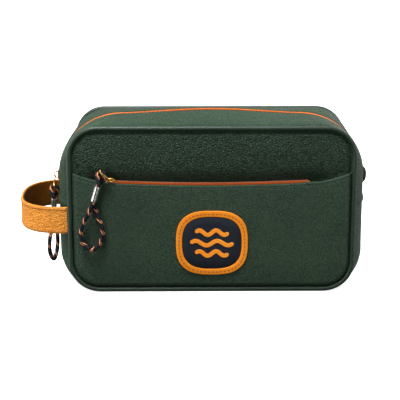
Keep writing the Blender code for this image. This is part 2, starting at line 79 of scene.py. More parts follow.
STRAP_HALF_HEIGHT = (STRAP_HIGH.z - STRAP_LOW.z) / 2
BADGE_LOW, BADGE_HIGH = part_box("badge_rim")
BADGE_Z = (BADGE_LOW.z + BADGE_HIGH.z) / 2

# Corner radii and curve powers shared with the CAD model
PIPING_CORNER = 0.026
EDGE_CORNER = 0.027
TOP_CORNER = 0.058
BASE_CORNER = 0.030
CROWN_POWER = 2.2
STRAP_POWER = 2.6
STRAP_ROOT_X = -0.1302
BADGE_POWER = 2.8
LEATHER = 0.0020
STITCH_SINK = 0.3          # share of a thread's radius that lies in the leather
TOOTH_PITCH = 0.0013
PANEL_LEATHER = 0.0014
CORD_RADIUS = 0.0020
CORD_SIDES = 24
TRACER_PITCH = 0.0105      # cord length in which the orange tracer climbs once round
FLECK_RISE = 0.0036
STRANDS = 6
PULL_Y = -0.0588           # plane that the pocket's cord pull hangs in


# ---------------------------------------------------------------- shader helpers
def node_material(name):
    mat = bpy.data.materials.new(name)
    mat.use_nodes = True
    tree = mat.node_tree
    return mat, tree, tree.nodes["Principled BSDF"]


def feed(tree, value, socket):
    """Puts a number, a colour or a node's output into a socket."""
    if isinstance(value, (int, float)):
        socket.default_value = value
    elif isinstance(value, tuple):
        socket.default_value = (*value, 1.0)
    else:
        tree.links.new(value, socket)


def math_node(tree, operation, *values):
    node = tree.nodes.new("ShaderNodeMath")
    node.operation = operation
    for socket, value in zip(node.inputs, values):
        feed(tree, value, socket)
    return node.outputs[0]


def multiply(tree, a, b):
    return math_node(tree, "MULTIPLY", a, b)


def add(tree, a, b):
    return math_node(tree, "ADD", a, b)


def ramp(tree, source, stops):
    node = tree.nodes.new("ShaderNodeValToRGB")
    elements = node.color_ramp.elements
    while len(elements) < len(stops):
        elements.new(0.5)
    for element, (position, color) in zip(elements, stops):
        element.position = position
        element.color = (*color, 1.0)
    tree.links.new(source, node.inputs[0])
    return node.outputs[0]


def grey(value):
    return (value, value, value)


def mix_color(tree, share, a, b, blend="MIX"):
    node = tree.nodes.new("ShaderNodeMix")
    node.data_type = "RGBA"
    node.blend_type = blend
    for socket, value in ((node.inputs[0], share), (node.inputs[6], a), (node.inputs[7], b)):
        feed(tree, value, socket)
    return node.outputs[2]


def place(tree, scale=(1, 1, 1), uv=False):
    """Object coordinates in metres, or the UV map, stretched by a scale."""
    source = tree.nodes.new("ShaderNodeTexCoord")
    mapping = tree.nodes.new("ShaderNodeMapping")
    mapping.inputs["Scale"].default_value = scale
    tree.links.new(source.outputs["UV" if uv else "Object"], mapping.inputs["Vector"])
    return mapping.outputs["Vector"]


def noise_out(tree, vector, scale, detail=3.0, rough=0.5):
    node = tree.nodes.new("ShaderNodeTexNoise")
    node.inputs["Scale"].default_value = scale
    node.inputs["Detail"].default_value = detail
    node.inputs["Roughness"].default_value = rough
    tree.links.new(vector, node.inputs["Vector"])
    return node.outputs["Fac"]


def voronoi_out(tree, vector, scale, feature="F1", smooth=0.0):
    node = tree.nodes.new("ShaderNodeTexVoronoi")
    node.feature = feature
    node.inputs["Scale"].default_value = scale
    if feature == "SMOOTH_F1":
        node.inputs["Smoothness"].default_value = smooth
    tree.links.new(vector, node.inputs["Vector"])
    return node.outputs["Distance"]


def bump(tree, shader, height, distance, strength=1.0):
    node = tree.nodes.new("ShaderNodeBump")
    node.inputs["Strength"].default_value = strength
    node.inputs["Distance"].default_value = distance
    tree.links.new(height, node.inputs["Height"])
    tree.links.new(node.outputs["Normal"], shader.inputs["Normal"])


def dress(tree, shader, color, roughness, specular=None):
    """The shader's colour and roughness, and its specular level where that isn't the default."""
    feed(tree, color, shader.inputs["Base Color"])
    feed(tree, roughness, shader.inputs["Roughness"])
    if specular is not None:
        feed(tree, specular, shader.inputs["Specular IOR Level"])


def leather(name, dark, mid, light, roughness, grain, depth, relief=0.5, specular=0.22, crease_shade=0.5):
    """Pebbled leather: rounded cells with fine creases between them, over slow colour variation. Painted
    shade darkens the colour in the creases.
    """
    mat, tree, shader = node_material(name)
    vector = place(tree)
    warp = tree.nodes.new("ShaderNodeTexNoise")
    warp.inputs["Scale"].default_value = grain * 0.35
    tree.links.new(vector, warp.inputs["Vector"])
    shifted = tree.nodes.new("ShaderNodeVectorMath")
    shifted.operation = "MULTIPLY_ADD"
    shifted.inputs[1].default_value = (1.0 / grain,) * 3
    tree.links.new(warp.outputs["Color"], shifted.inputs[0])
    tree.links.new(vector, shifted.inputs[2])
    cells = voronoi_out(tree, shifted.outputs[0], grain, "SMOOTH_F1", 0.35)
    creases = voronoi_out(tree, shifted.outputs[0], grain, "DISTANCE_TO_EDGE")
    crease_height = math_node(tree, "MINIMUM", multiply(tree, creases, 4.0), 1.0)
    dome = math_node(tree, "SUBTRACT", 1.0, cells)
    rolling = noise_out(tree, vector, grain * 0.42, 2.0, 0.6)
    fine = noise_out(tree, vector, grain * 5, 2.0)
    pebbles = multiply(tree, crease_height, dome)
    height = add(tree, pebbles, multiply(tree, rolling, relief * 2))
    height = add(tree, height, multiply(tree, fine, 0.10))
    slow = noise_out(tree, vector, 16.0, 3.0, 0.55)
    tone = add(tree, multiply(tree, slow, 0.6), multiply(tree, rolling, 0.4))
    base = ramp(tree, tone, ((0.34, dark), (0.50, mid), (0.68, light)))
    # Painted shade: the colour is multiplied darker in the creases between the pebbles.
    shade = ramp(tree, pebbles, ((0.05, grey(crease_shade)), (0.45, grey(1.0))))
    color = mix_color(tree, 1.0, base, shade, "MULTIPLY")
    gloss = ramp(tree, pebbles, ((0.1, grey(min(roughness + 0.2, 1.0))), (0.7, grey(roughness))))
    dress(tree, shader, color, gloss, specular)
    bump(tree, shader, height, depth)
    return mat


def metal(name, color, roughness):
    """Polished metal with faint brushed marks and slow patches of darker colour."""
    mat, tree, shader = node_material(name)
    marks = noise_out(tree, place(tree, (1, 1, 0.15)), 2600.0, 2.0)
    cloud = noise_out(tree, place(tree), 260.0, 2.0)
    shader.inputs["Metallic"].default_value = 1.0
    tone = ramp(tree, cloud, ((0.3, tuple(c * 0.82 for c in color)), (0.7, color)))
    rough = ramp(tree, marks, ((0.3, grey(roughness)), (0.7, grey(roughness + 0.08))))
    dress(tree, shader, tone, rough)
    bump(tree, shader, marks, 0.00001, 0.6)
    return mat


def woven(name, color, dark, threads_per_metre, uv=True):
    """Plain weave from two crossed sets of threads."""
    mat, tree, shader = node_material(name)
    vector = place(tree, uv=uv)
    split = tree.nodes.new("ShaderNodeSeparateXYZ")
    tree.links.new(vector, split.inputs[0])
    turn = math.pi * threads_per_metre
    warp, weft = (math_node(tree, "SINE", multiply(tree, split.outputs[k], turn)) for k in (0, 1))
    weave = math_node(tree, "MULTIPLY_ADD", multiply(tree, warp, weft), 0.5, 0.5)
    fuzz = noise_out(tree, place(tree), 1800.0, 3.0)
    height = add(tree, weave, multiply(tree, fuzz, 0.5))
    dress(tree, shader, ramp(tree, height, ((0.25, dark), (0.85, color))), 0.85)
    shader.inputs["Sheen Weight"].default_value = 0.2
    bump(tree, shader, height, 0.00012)
    return mat


def thread(name, color):
    """Sewing thread with fine ridges."""
    mat, tree, shader = node_material(name)
    strands = noise_out(tree, place(tree), 2400.0, 2.0)
    tone = ramp(tree, strands, ((0.3, tuple(c * 0.7 for c in color)), (0.7, color)))
    dress(tree, shader, tone, 0.7)
    bump(tree, shader, strands, 0.00008)
    return mat


def moulded_coil(name, color, dark):
    """Dyed nylon coil teeth with a soft shine."""
    mat, tree, shader = node_material(name)
    cloud = noise_out(tree, place(tree), 900.0, 2.0)
    dress(tree, shader, ramp(tree, cloud, ((0.3, dark), (0.7, color))), 0.42, 0.12)
    bump(tree, shader, cloud, 0.00005)
    return mat


def braided_cord(name):
    """Black braid with a tracer: a group of short orange flecks climbs across the cord once in each turn."""
    mat, tree, shader = node_material(name)
    split = tree.nodes.new("ShaderNodeSeparateXYZ")
    tree.links.new(place(tree, uv=True), split.inputs[0])
    rise = multiply(tree, split.outputs[0], 1 / TRACER_PITCH)
    left = add(tree, rise, split.outputs[1])
    right = math_node(tree, "SUBTRACT", rise, split.outputs[1])
    waves = [math_node(tree, "SINE", multiply(tree, way, 2 * math.pi * STRANDS)) for way in (left, right)]
    weave = math_node(tree, "MAXIMUM", *waves)
    tracer = math_node(tree, "LESS_THAN", math_node(tree, "FRACT", left), 0.30)
    slant = multiply(tree, split.outputs[0], 1 / FLECK_RISE)
    turn = math_node(tree, "MULTIPLY_ADD", split.outputs[1], STRANDS, slant)
    dashes = math_node(tree, "SINE", multiply(tree, turn, 2 * math.pi))
    fleck = multiply(tree, tracer, math_node(tree, "GREATER_THAN", dashes, 0.15))
    fuzz = noise_out(tree, place(tree), 2200.0, 2.0)
    black = ramp(tree, fuzz, ((0.35, (0.003, 0.003, 0.006)), (0.75, (0.014, 0.015, 0.022))))
    orange = ramp(tree, fuzz, ((0.30, (0.62, 0.17, 0.05)), (0.70, (1.0, 0.46, 0.22))))
    dress(tree, shader, mix_color(tree, fleck, black, orange), 0.70, 0.20)
    bump(tree, shader, add(tree, weave, multiply(tree, fuzz, 0.3)), 0.00016)
    return mat


def foam(name, color):
    mat, tree, shader = node_material(name)
    pores = voronoi_out(tree, place(tree), 1500.0)
    tone = ramp(tree, pores, ((0.1, tuple(c * 0.6 for c in color)), (0.6, color)))
    dress(tree, shader, tone, 0.95)
    bump(tree, shader, pores, 0.0002)
    return mat


GREEN = leather("green_pebbled", (0.009, 0.027, 0.012), (0.014, 0.037, 0.018), (0.022, 0.050, 0.025), 0.42,
                grain=500.0, depth=0.0009, relief=0.6, specular=0.22, crease_shade=0.45)
# Painted light: the gussets' leather is a lighter copy of the green leather, standing for the brighter light
# on the top and sides.
GREEN_GUSSET_PAINTED_LIGHT = leather("green_gusset_painted_light", (0.015, 0.042, 0.019), (0.021, 0.055, 0.027), (0.030, 0.068, 0.035),
                       0.42, grain=540.0, depth=0.0007, relief=0.6, specular=0.15, crease_shade=0.5)
GREEN_CALM = leather("green_milled", (0.016, 0.039, 0.020), (0.020, 0.046, 0.024), (0.027, 0.055, 0.029),
                     0.42, grain=560.0, depth=0.0005, relief=0.5, specular=0.28, crease_shade=0.6)
# Painted shade: the piping's leather is a darker copy of the green leather, standing for the shade on the
# round bead.
GREEN_PIPING_PAINTED_SHADE = leather("green_piping", (0.006, 0.018, 0.009), (0.009, 0.025, 0.013), (0.012, 0.032, 0.017),
                       0.30, grain=900.0, depth=0.00012, specular=0.45, crease_shade=0.8)
TAN = leather("tan_pebbled", (0.72, 0.24, 0.018), (0.87, 0.32, 0.036), (0.95, 0.39, 0.060), 0.45,
              grain=560.0, depth=0.0007, relief=0.6, crease_shade=0.6)
BADGE_TAN = leather("badge_tan", (0.78, 0.215, 0.006), (0.86, 0.26, 0.011), (0.91, 0.30, 0.018), 0.46,
                    grain=900.0, depth=0.00008, relief=0.2, crease_shade=0.85)
NAVY = leather("badge_navy", (0.006, 0.009, 0.016), (0.009, 0.013, 0.021), (0.014, 0.019, 0.028), 0.50,
               grain=1000.0, depth=0.00008, relief=0.2, crease_shade=0.8)
BROWN = leather("strap_backing", (0.110, 0.034, 0.002), (0.160, 0.054, 0.004), (0.22, 0.080, 0.008), 0.85,
                grain=1600.0, depth=0.00008, specular=0.1)
MARK = leather("badge_mark", (0.80, 0.23, 0.01), (0.88, 0.28, 0.02), (0.93, 0.34, 0.03), 0.50,
               grain=1400.0, depth=0.00005, relief=0.2, crease_shade=0.9)
# Painted shade: the pocket zip's tape is a much darker copy of the orange zip tape, standing for the shade in
# the pocket's mouth.
POCKET_TAPE_PAINTED_SHADE = woven("pocket_zip_tape", (0.22, 0.045, 0.004), (0.10, 0.018, 0.002), 1500.0)
ZIP_TAPE = woven("zip_tape", (0.80, 0.19, 0.025), (0.42, 0.08, 0.008), 1500.0)
ZIP_COIL = moulded_coil("zip_coil", (0.62, 0.135, 0.007), (0.44, 0.085, 0.004))
# Painted shade: the pocket zip's coil is a darker copy of the orange coil, standing for the shade under the
# pocket's lip.
POCKET_COIL_PAINTED_SHADE = moulded_coil("pocket_zip_coil_painted_shade", (0.36, 0.060, 0.0025), (0.20, 0.030, 0.001))
GOLD = metal("gold", (0.74, 0.43, 0.11), 0.26)
SILVER = metal("silver", (0.92, 0.92, 0.91), 0.30)
CORD = braided_cord("cord_braid")
GREEN_THREAD = thread("green_thread", (0.035, 0.070, 0.046))
TAN_THREAD = thread("tan_thread", (0.46, 0.15, 0.02))
BADGE_THREAD = thread("badge_thread", (0.16, 0.05, 0.008))
WEBBING = woven("black_webbing", (0.035, 0.026, 0.020), (0.008, 0.006, 0.005), 900.0)
LINING = woven("lining", (0.20, 0.20, 0.19), (0.08, 0.08, 0.075), 1200.0, uv=False)
FOAM = foam("foam_board", (0.62, 0.60, 0.55))


# ---------------------------------------------------------------- mesh helpers
def unit(vectors):
    return vectors / np.linalg.norm(vectors, axis=-1, keepdims=True)


def lengths_along(path):
    """Distance of each point from the start of a path."""
    return np.concatenate([[0], np.cumsum(np.linalg.norm(np.diff(path, axis=0), axis=1))])


def turns(steps):
    """Evenly spaced angles of one full turn."""
    return np.linspace(0, 2 * np.pi, steps, endpoint=False)


def new_object(name, data):
    item = bpy.data.objects.new(name, data)
    bpy.context.scene.collection.objects.link(item)
    return item


def finish_piece(item, mat, body, nodes=()):
    item.data.materials.clear()
    item.data.materials.append(mat)
    if body:
        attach(item, body)
    if nodes:
        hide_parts(*nodes)
    return item


def mesh_piece(name, verts, faces, uvs=None, smooth=True):
    mesh = bpy.data.meshes.new(name)
    mesh.from_pydata([tuple(v) for v in verts], [], [tuple(f) for f in faces])
    mesh.update()
    if uvs is not None:
        layer = mesh.uv_layers.new(name="UVMap")
        corners = np.array(uvs, dtype=np.float32).reshape(-1)
        layer.data.foreach_set("uv", corners)
    if smooth:
        mesh.shade_smooth()
    return new_object(name, mesh)


def loft(name, rings, closed=False, caps=True):
    """Quads through closed rings, each an (m, 3) array, with UVs in metres along and 0 to 1 around."""
    rings = np.asarray(rings, dtype=float)
    count, size = rings.shape[:2]
    verts = rings.reshape(-1, 3)
    centres = rings.mean(axis=1)
    along = lengths_along(centres)
    if closed:
        along = np.append(along, along[-1] + np.linalg.norm(centres[0] - centres[-1]))
    faces = []
    uvs = []
    for i in range(count if closed else count - 1):
        after = (i + 1) % count
        for j in range(size):
            k = (j + 1) % size
            faces.append((i * size + j, after * size + j, after * size + k, i * size + k))
            uvs += [(along[i], j / size), (along[i + 1], j / size),
                    (along[i + 1], (j + 1) / size), (along[i], (j + 1) / size)]
    if caps and not closed:
        verts = np.vstack([verts, rings[0].mean(axis=0), rings[-1].mean(axis=0)])
        first = count * size
        last = (count - 1) * size
        for j in range(size):
            k = (j + 1) % size
            faces.append((first, j, k))
            uvs += [(0, 0.5), (0, j / size), (0, (j + 1) / size)]
            faces.append((first + 1, last + k, last + j))
            uvs += [(along[-1], 0.5), (along[-1], (j + 1) / size), (along[-1], j / size)]
    return mesh_piece(name, verts, faces, uvs)


def smooth_noise(points, scale, seed=0.0):
    """Slow, seeded value between about -1 and 1 for each point, from a few crossed waves."""
    p = np.asarray(points) * scale
    total = np.zeros(p.shape[:-1])
    for k, weight in ((1.0, 0.5), (1.9, 0.3), (3.7, 0.2)):
        a = p[..., 0] * 1.3 * k + p[..., 1] * 0.7 * k + seed
        b = p[..., 2] * 1.1 * k - p[..., 1] * 1.7 * k + seed * 1.7
        total += weight * np.sin(a + 1.3 * np.sin(b)) * np.cos(b - 0.8 * np.sin(a * 0.6))
    return total


def arc(centre_x, centre_z, radius, start, end, steps):
    angles = np.radians(np.linspace(start, end, steps + 1))
    return np.column_stack([centre_x + radius * np.cos(angles), centre_z + radius * np.sin(angles)])


def straight(a, b, steps):
    share = np.linspace(0, 1, steps + 1)[1:-1, None]
    return np.asarray(a) + (np.asarray(b) - np.asarray(a)) * share


def mirrored(points):
    return points[::-1] * np.array([-1.0, 1.0])


def rounded_rectangle(half_width, bottom, top, radius, corner_steps=14, side_steps=30):
    right_low = arc(half_width - radius, bottom + radius, radius, -90, 0, corner_steps)
    right_high = arc(half_width - radius, top - radius, radius, 0, 90, corner_steps)
    side = straight(right_low[-1], right_high[0], side_steps // 2)
    right = np.vstack([right_low, side, right_high])
    left = mirrored(right)
    over = straight(right[-1], left[0], side_steps)
    under = straight(left[-1], right[0], side_steps)
    return np.vstack([right, over, left, under])


def superellipse(half_width, half_height, power, steps):
    c = np.cos(turns(steps))
    s = np.sin(turns(steps))
    x = half_width * np.sign(c) * np.abs(c) ** (2 / power)
    z = half_height * np.sign(s) * np.abs(s) ** (2 / power)
    return np.column_stack([x, z])


def resample(points, spacing=None, count=None, closed=False):
    """Evenly spaced points along a polyline."""
    points = np.asarray(points, dtype=float)
    if closed:
        points = np.vstack([points, points[:1]])
    along = lengths_along(points)
    if count is None:
        count = max(2, int(round(along[-1] / spacing)) + (0 if closed else 1))
    wanted = np.linspace(0, along[-1], count, endpoint=not closed)
    return np.column_stack([np.interp(wanted, along, points[:, k]) for k in range(points.shape[1])])


def frames_along(path, up, closed=False):
    """Tangent, side and up vectors for each point of a path."""
    if closed:
        tangent = np.roll(path, -1, axis=0) - np.roll(path, 1, axis=0)
    else:
        tangent = np.gradient(path, axis=0)
    tangent = unit(tangent)
    up = np.broadcast_to(np.asarray(up, dtype=float), path.shape)
    side = unit(np.cross(tangent, up))
    return tangent, side, np.cross(side, tangent)


def sweep(name, path, section, up, closed=False):
    """A section of (side, up) points carried along a path."""
    path = np.asarray(path, dtype=float)
    side, raised = frames_along(path, up, closed)[1:]
    section = np.asarray(section, dtype=float)
    rings = path[:, None] + side[:, None] * section[None, :, 0:1] + raised[:, None] * section[None, :, 1:2]
    return loft(name, rings, closed)


def circle(radius, steps):
    return radius * np.column_stack([np.cos(turns(steps)), np.sin(turns(steps))])


def rounded_section(half_width, half_height, radius, steps=4, flat_steps=8):
    """A closed rounded rectangle as (side, up) points."""
    corners = []
    for sx, sz, start in ((1, 1, 0), (-1, 1, 90), (-1, -1, 180), (1, -1, 270)):
        centre = (sx * (half_width - radius), sz * (half_height - radius))
        corners.append(arc(*centre, radius, start, start + 90, steps))
    points = []
    for corner, after in zip(corners, corners[1:] + corners[:1]):
        points += [corner, straight(corner[-1], after[0], flat_steps)]
    return np.vstack(points)


def stitch_row(name, points, normals, pitch, length, radius, closed=False):
    """Short threads laid end to end along a path, each bowed up in its middle and sunk at its ends."""
    spots = resample(np.hstack([points, normals]), spacing=pitch, closed=closed)
    places = spots[:, :3]
    ups = unit(spots[:, 3:6])
    tangent = frames_along(places, ups, closed)[0]
    verts = []
    faces = []
    around = 6
    bows = np.linspace(-1, 1, 7)
    for place_, up_, along_ in zip(places, ups, tangent):
        side_ = np.cross(along_, up_)
        first = len(verts)
        for bow in bows:
            width = radius * (1 - 0.55 * bow ** 4)
            lift = radius * (1 - STITCH_SINK) - 1.6 * radius * bow ** 4
            centre = place_ + along_ * length / 2 * bow + up_ * lift
            for k in range(around):
                angle = 2 * math.pi * k / around
                verts.append(centre + side_ * width * math.cos(angle) + up_ * width * math.sin(angle))
        for i in range(len(bows) - 1):
            for k in range(around):
                a = first + i * around + k
                b = first + i * around + (k + 1) % around
                faces.append((a, b, b + around, a + around))
        faces.append(tuple(first + k for k in reversed(range(around))))
        last = first + (len(bows) - 1) * around
        faces.append(tuple(last + k for k in range(around)))
    return mesh_piece(name, verts, faces)


# ---------------------------------------------------------------- camera, stage and light
LIGHT_TARGET = Vector((0, 0, 0.08))


def build_camera():
    azimuth = math.radians(-0.58)
    elevation = math.radians(14.6)
    distance = 1.1196
    target = Vector((-0.0102, 0.0, 0.0733))
    back = Vector((math.sin(azimuth) * math.cos(elevation), -math.cos(azimuth) * math.cos(elevation),
                   math.sin(elevation)))
    data = bpy.data.cameras.new("camera")
    data.sensor_width = 36.0
    data.lens = 106.96
    data.clip_end = 20.0
    camera = new_object("camera", data)
    camera.location = target + back * distance
    camera.rotation_euler = (-back).to_track_quat("-Z", "Y").to_euler()
    bpy.context.scene.camera = camera


def area_light(name, place_, size, energy):
    """A rectangular white lamp aimed at the middle of the bag."""
    data = bpy.data.lights.new(name, "AREA")
    data.shape = "RECTANGLE"
    data.size, data.size_y = size
    data.energy = energy
    item = new_object(name, data)
    item.location = place_
    item.rotation_euler = (LIGHT_TARGET - Vector(place_)).to_track_quat("-Z", "Y").to_euler()


def build_stage():
    mat, tree, shader = node_material("stage_white")
    dress(tree, shader, grey(0.90), 0.95, 0.0)
    shader.inputs["Emission Color"].default_value = (1.0, 1.0, 1.0, 1.0)
    shader.inputs["Emission Strength"].default_value = 0.72
    floor = mesh_piece("stage_floor", [(-6, -6, 0), (6, -6, 0), (6, 6, 0), (-6, 6, 0)], [(0, 1, 2, 3)],
                       smooth=False)
    floor.data.materials.append(mat)
    floor.visible_diffuse = False
    floor.visible_glossy = False


def build_world():
    """A studio that is bright above and behind the bag, and darker in front of it."""
    world = bpy.data.worlds.new("studio")
    world.use_nodes = True
    tree = world.node_tree
    background = tree.nodes["Background"]
    source = tree.nodes.new("ShaderNodeTexCoord")
    split = tree.nodes.new("ShaderNodeSeparateXYZ")
    tree.links.new(source.outputs["Generated"], split.inputs[0])
    depth = multiply(tree, split.outputs[1], 0.5)
    rise = multiply(tree, split.outputs[2], 0.10)
    level = add(tree, add(tree, depth, rise), 0.5)
    color = ramp(tree, level, ((0.10, grey(0.10)), (0.55, grey(0.26)), (0.92, grey(0.90))))
    tree.links.new(color, background.inputs["Color"])
    background.inputs["Strength"].default_value = 1.0
    bpy.context.scene.world = world
    bpy.context.scene.view_settings.view_transform = "Standard"


def build_lights():
    area_light("key_top", (-0.28, -0.36, 1.15), (0.35, 0.30), 23.0)
    area_light("front_left", (-0.95, -1.05, 0.40), (0.5, 0.7), 7.5)
    area_light("front_right", (0.95, -1.05, 0.35), (0.5, 0.7), 4.5)
    area_light("rim_right", (0.85, 0.80, 0.80), (0.5, 0.4), 7.0)
    area_light("left_side", (-1.1, -0.10, 0.25), (0.4, 0.9), 6.0)
    area_light("right_side", (1.1, -0.05, 0.25), (0.3, 0.9), 4.5)


# ---------------------------------------------------------------- cords
POCKET_LOOP = [
    (-0.1059, -0.00215, 0.0873), (-0.1064, -0.00215, 0.0857), (-0.1088, -0.0018, 0.0802),
    (-0.1136, -0.0008, 0.0705), (-0.1174, 0.0000, 0.0600), (-0.1162, 0.0000, 0.0490),
    (-0.1083, 0.0000, 0.0426), (-0.1004, 0.0000, 0.0490), (-0.0983, 0.0000, 0.0600),
    (-0.1010, 0.0003, 0.0705), (-0.1046, 0.0014, 0.0802), (-0.1064, 0.00215, 0.0857),
    (-0.1059, 0.00215, 0.0873),
]
POCKET_EYE = [
    (-0.1014, -0.00215, 0.1020), (-0.1010, -0.00215, 0.1036), (-0.1015, -0.0012, 0.1080),
    (-0.1008, 0.0000, 0.1122), (-0.0983, 0.0000, 0.1138), (-0.0958, 0.0000, 0.1120),
    (-0.0958, 0.0010, 0.1080), (-0.0990, 0.0019, 0.1046), (-0.1010, 0.00215, 0.1036),
    (-0.1014, 0.00215, 0.1020),
]
MAIN_LOOP = [
    (-0.1478, -0.00215, 0.0611), (-0.1478, -0.00220, 0.0595), (-0.1488, -0.0034, 0.0530),
    (-0.1508, -0.0066, 0.0430), (-0.1522, -0.0088, 0.0330), (-0.1516, -0.0068, 0.0225),
    (-0.1491, 0.0000, 0.0160), (-0.1470, 0.0068, 0.0225), (-0.1462, 0.0088, 0.0330),
    (-0.1466, 0.0066, 0.0430), (-0.1473, 0.0034, 0.0530), (-0.1478, 0.00220, 0.0595),
    (-0.1478, 0.00215, 0.0611),
]
MAIN_EYE = [
    (-0.1475, -0.00215, 0.0756), (-0.1475, -0.00215, 0.0772), (-0.1494, -0.0014, 0.0815),
    (-0.1492, 0.0000, 0.0860), (-0.1468, 0.0000, 0.0874), (-0.1444, 0.0000, 0.0858),
    (-0.1444, 0.0012, 0.0815), (-0.1466, 0.0019, 0.0785), (-0.1475, 0.00215, 0.0772),
    (-0.1475, 0.00215, 0.0756),
]


def catmull(points, per_span=24):
    """Fine points of a Catmull-Rom curve through the given points."""
    knots = np.asarray(points, dtype=float)
    knots = np.vstack([2 * knots[0] - knots[1], knots, 2 * knots[-1] - knots[-2]])
    t = np.linspace(0, 1, per_span, endpoint=False)[:, None]
    spans = []
    for a, b, c, d in zip(knots, knots[1:], knots[2:], knots[3:]):
        spans.append(0.5 * (2 * b + (c - a) * t + (2 * a - 5 * b + 4 * c - d) * t ** 2
                            + (3 * b - a - 3 * c + d) * t ** 3))
    return np.vstack(spans + [knots[-2:-1]])


def transported_frames(path):
    """Side and up vectors that turn as little as possible along a path."""
    tangent = unit(np.gradient(path, axis=0))
    side = np.cross(tangent[0], (0.3, 1.0, 0.2))
    sides = []
    for along_ in tangent:
        side = unit(side - along_ * side.dot(along_))
        sides.append(side)
    sides = np.array(sides)
    return sides, np.cross(tangent, sides)


def cord_piece(name, route, plane_y, body, node):
    """A braided cord swept along a route of (x, y from plane_y, z) points."""
    fine = catmull(np.asarray(route) + np.array([0.0, plane_y, 0.0]))
    path = resample(fine, spacing=0.00040)
    side, up_ = transported_frames(path)
    angles = 2 * np.pi * np.arange(CORD_SIDES) / CORD_SIDES
    along = lengths_along(path)
    around = angles / (2 * np.pi)
    rise = along[:, None] / TRACER_PITCH
    left, right = (np.sin(2 * np.pi * STRANDS * (rise + way * around[None, :])) for way in (1, -1))
    radius = CORD_RADIUS * (0.970 + 0.050 * np.maximum(left, right))
    rings = path[:, None] + radius[..., None] * (
        side[:, None] * np.cos(angles)[None, :, None] + up_[:, None] * np.sin(angles)[None, :, None])
    item = loft(name, rings)
    finish_piece(item, CORD, body, (node,))
    return item


def build_cords():
    cord_piece("pocket_cord_loop", POCKET_LOOP, PULL_Y, "pocket_pull", "pocket_pull_cord")
    cord_piece("pocket_cord_eye", POCKET_EYE, PULL_Y, "pocket_pull", "pocket_pull_eye")
    cord_piece("main_cord_loop", MAIN_LOOP, 0.0, "main_pull", "main_pull_cord")
    cord_piece("main_cord_eye", MAIN_EYE, 0.0, "main_pull", "main_pull_eye")


# ---------------------------------------------------------------- gussets
CORNER_STEPS = 26


def upper_route(half_width, top, radius):
    """Outline from the left side seam over the top to the right side seam."""
    left = arc(-half_width + radius, top - radius, radius, 180, 90, CORNER_STEPS)
    side = np.vstack([[(-half_width, SEAM_Z)], straight((-half_width, SEAM_Z), left[0], 30)])
    left = np.vstack([side, left])
    right = mirrored(left)
    return np.vstack([left, straight(left[-1], right[0], 60), right])


def lower_route(half_width, bottom, radius):
    """Outline from the right side seam under the base to the left side seam."""
    right = arc(half_width - radius, bottom + radius, radius, 0, -90, CORNER_STEPS)
    side = np.vstack([[(half_width, SEAM_Z)], straight((half_width, SEAM_Z), right[0], 12)])
    right = np.vstack([side, right])
    left = mirrored(right)
    return np.vstack([right, straight(right[-1], left[0], 60), left])


EDGE_INSET = 0.0015        # the gusset's edge below the piping's outline
EDGE_HALF = HALF_WIDTH - EDGE_INSET
EDGE_TOP = HEIGHT - EDGE_INSET
UPPER_ROUTES = (upper_route(EDGE_HALF, EDGE_TOP, EDGE_CORNER),
                upper_route(MIDDLE_HALF, MIDDLE_TOP, TOP_CORNER))
LOWER_ROUTES = (lower_route(EDGE_HALF, 0.0, EDGE_CORNER), lower_route(MIDDLE_HALF, 0.0, BASE_CORNER))


def gusset_points(routes, ys):
    """Outer surface points (station, depth, 3), from the outline at the pipings to the fuller one between."""
    share = 1 - np.minimum(np.abs(ys) / GUSSET_EDGE_Y, 1.0) ** CROWN_POWER
    edge, middle = routes
    plan = edge[:, None] + (middle - edge)[:, None] * share[None, :, None]
    depth = np.broadcast_to(ys[None, :], plan.shape[:2])
    return np.stack([plan[..., 0], depth, plan[..., 1]], axis=-1)


def gusset_surface(routes, ys):
    """Outer surface points and their outward normals."""
    ys = np.asarray(ys, dtype=float)
    points = gusset_points(routes, ys)
    step = 0.0004
    across = gusset_points(routes, ys + step) - points
    across[..., 1] = step
    return points, unit(np.cross(np.gradient(points, axis=0), across))


def strip_section(y_start, y_end, thickness, roll_start, roll_end, spacing=0.0016):
    """Closed section of a leather strip as (y, inset): its outer face, a rolled edge, and its inner face."""
    half = thickness / 2
    inner_start = y_start + (half if roll_start else 0.0)
    inner_end = y_end - (half if roll_end else 0.0)
    count = max(4, int(abs(y_end - y_start) / spacing))
    outer = np.column_stack([np.linspace(inner_start, inner_end, count), np.zeros(count)])
    inner = np.column_stack([np.linspace(inner_end, inner_start, count), np.full(count, thickness)])
    angles = np.radians(np.linspace(90, -90, 7))[1:-1]
    end_roll = np.column_stack([inner_end + half * np.cos(angles), half - half * np.sin(angles)])
    start_roll = np.column_stack([inner_start - half * np.cos(angles), half + half * np.sin(angles)])
    parts = [outer]
    if roll_end:
        parts.append(end_roll)
    parts.append(inner)
    if roll_start:
        parts.append(start_roll)
    return np.vstack(parts)


def gusset_strip(name, routes, section, lift):
    """A strip of (y, inset) section along the gusset's surface, raised by lift(points)."""
    points, normals = gusset_surface(routes, section[:, 0])
    points = points + normals * lift(points)[..., None]
    return loft(name, points - normals * section[:, 1][None, :, None])


def soft_swell(points, height, seed):
    """Slow unevenness of stuffed leather, nothing at the sewn edges."""
    fade = 1 - np.clip(np.abs(points[..., 1]) / GUSSET_EDGE_Y, 0, 1) ** 6
    rest = np.clip(points[..., 2] / 0.010, 0, 1)
    return height * smooth_noise(points, 34.0, seed) * fade * rest


ROOF_RISE = 0.0043
ROOF_HALF = 0.100
ROOF_DROP = 0.0007
SEAM_CHANNEL_Y = GUSSET_EDGE_Y - 0.0026
MOUTH_STITCH_Y = MOUTH_EDGE_Y + 0.0030
# Stitch pitch, length and thread radius
SEAM_STITCH = (0.0038, 0.0029, 0.00030)
POCKET_STITCH = (0.0034, 0.0025, 0.00026)
STRAP_STITCH = (0.0033, 0.0024, 0.00028)
BADGE_STITCH = (0.0036, 0.0024, 0.00030)


